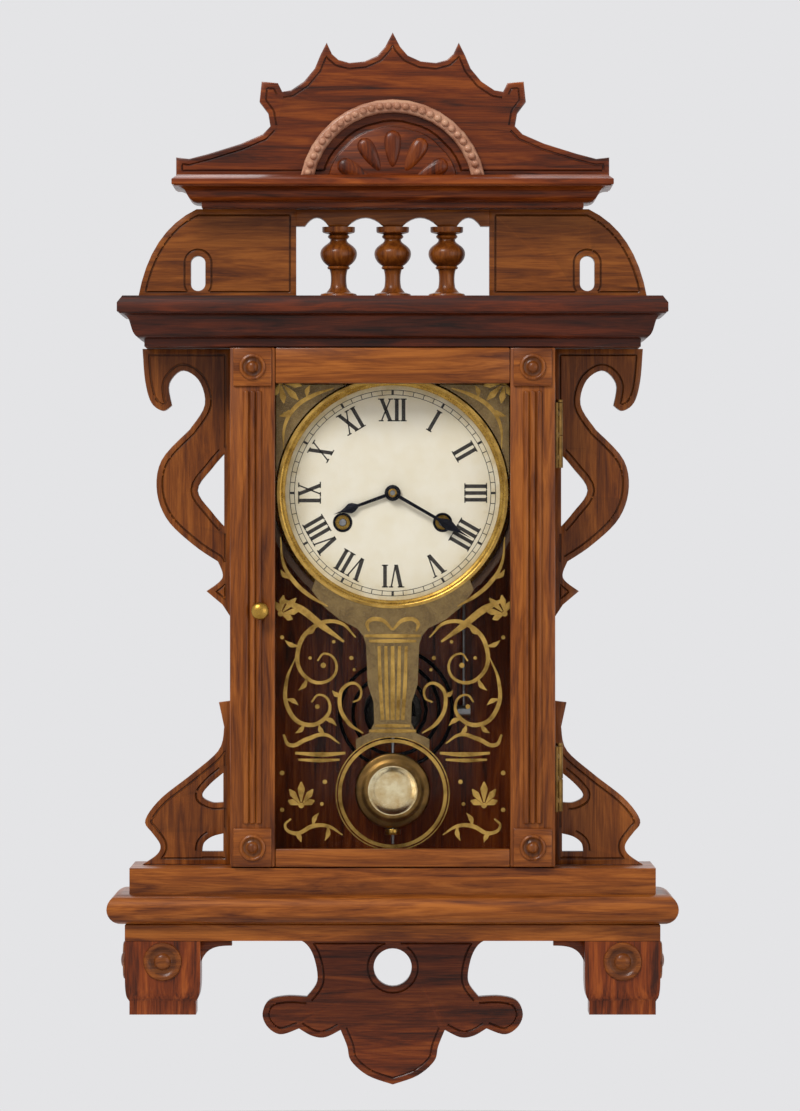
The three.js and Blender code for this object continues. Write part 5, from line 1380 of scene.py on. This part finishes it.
    def ring(self, z, inner, width, depth):
        profile = [(inner, 0), (inner + width, 0), (inner + width, 0.15), (inner, 0.15), (inner, 0)]
        return turned("gilt_ring", profile, 120, FACING_FRONT, (0, depth, z * MM))


# Pendulum, gong and movement

class CLOCK_OT_pendulum(bpy.types.Operator):
    """Pendulum rod, pressed brass bob and rating nut"""

    bl_idname = "clock.pendulum"
    bl_label = "Pendulum"

    BRIGHT_RADIUS = 16.5 * MM  # the rim outside it is browned brass, darkened also as painted shade for the dark reflection round the bright middle

    def execute(self, context):
        softened("pendulum_rod", "drawn", 0, turned_steel(), "pendulum", "steel")
        low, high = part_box("pendulum_bob")
        middle, half = (low + high) / 2, (high.y - low.y) / 2 / MM
        edge = [(24.6, 0.44), (25.5, 0.34), (26, 0.15)]
        face = [(0, 1), (4, 0.99), (8, 0.95), (12, 0.86), (15, 0.76), (16, 0.68), (17, 0.66), (18, 0.72),
                (19, 0.73), (20, 0.66), (21.2, 0.52), (22.4, 0.46)]
        front = [(r, share * half) for r, share in face + edge]
        back = [(r, -share * half) for r, share in reversed(face + edge)]
        bob = turned("pendulum_bob_pressed", [*front, *back], 80, FACING_FRONT, middle)
        dress(bob, polished_brass(), "bob", "brass", "pendulum_bob")
        # The rim is painted aged brass: real browning, and also painted shade standing for the dark
        # reflection round the bob's bright middle.
        paint_faces(bob, aged_brass(), lambda face: math.hypot(
            face.center.x - middle.x, face.center.z - middle.z) > self.BRIGHT_RADIUS)
        softened("rating_nut", "turned", 0.4 * MM, lacquered_brass(), "bob", "brass")
        return {"FINISHED"}


class CLOCK_OT_strike(bpy.types.Operator):
    """Gong base, gong coil and strike hammer"""

    bl_idname = "clock.strike"
    bl_label = "Strike"

    def execute(self, context):
        softened("gong_base", "cast", 0.6 * MM, japanned_iron(), "case", "iron")
        softened("gong_coil", "wound", 0, blued_steel(), "case", "blued_steel", angle=60)
        softened("strike_hammer", "turned", 0, turned_steel(), "hammer", "steel", angle=60)
        return {"FINISHED"}


class CLOCK_OT_movement(bpy.types.Operator):
    """Finishes of the movement's plates, wheels, arbors and springs"""

    bl_idname = "clock.movement"
    bl_label = "Movement"

    def execute(self, context):
        finishes = {"brass": lacquered_brass, "steel": turned_steel, "blued_steel": blued_steel}
        slots = {part["node"]: part["material_slot"] for part in frame["record"]["subparts"]}
        for node, piece in frame["nodes"].items():
            if not piece.hide_render and slots[node] in finishes:
                refinish(node, finishes[slots[node]]())
        return {"FINISHED"}


class CLOCK_PT_panel(bpy.types.Panel):
    """The clock's pieces, sizes and colours"""

    bl_label = "Hanging kitchen clock"
    bl_idname = "CLOCK_PT_panel"
    bl_space_type = "VIEW_3D"
    bl_region_type = "UI"
    bl_category = "Clock"

    def draw(self, context):
        for operator in OPERATORS:
            self.layout.operator(operator.bl_idname)
        for group in (context.scene.clock_sizes, context.scene.clock_colours):
            box = self.layout.box()
            for name in group.__annotations__:
                box.prop(group, name)


OPERATORS = (
    CLOCK_OT_stage, CLOCK_OT_carcass, CLOCK_OT_mouldings, CLOCK_OT_gallery, CLOCK_OT_crest,
    CLOCK_OT_fretwork, CLOCK_OT_door, CLOCK_OT_dial, CLOCK_OT_gilding, CLOCK_OT_pendulum,
    CLOCK_OT_strike, CLOCK_OT_movement,
)
CLASSES = (ClockSizes, ClockColours, *OPERATORS, CLOCK_PT_panel)


def register():
    for cls in CLASSES:
        bpy.utils.register_class(cls)
    bpy.types.Scene.clock_sizes = PointerProperty(type=ClockSizes)
    bpy.types.Scene.clock_colours = PointerProperty(type=ClockColours)


def unregister():
    del bpy.types.Scene.clock_colours
    del bpy.types.Scene.clock_sizes
    for cls in reversed(CLASSES):
        bpy.utils.unregister_class(cls)


def main():
    register()
    bpy.ops.clock.stage()
    bpy.ops.clock.carcass()
    bpy.ops.clock.mouldings()
    bpy.ops.clock.gallery()
    bpy.ops.clock.crest()
    bpy.ops.clock.fretwork()
    bpy.ops.clock.door()
    bpy.ops.clock.dial()
    bpy.ops.clock.gilding()
    bpy.ops.clock.pendulum()
    bpy.ops.clock.strike()
    bpy.ops.clock.movement()


if __name__ == "__main__":
    main()
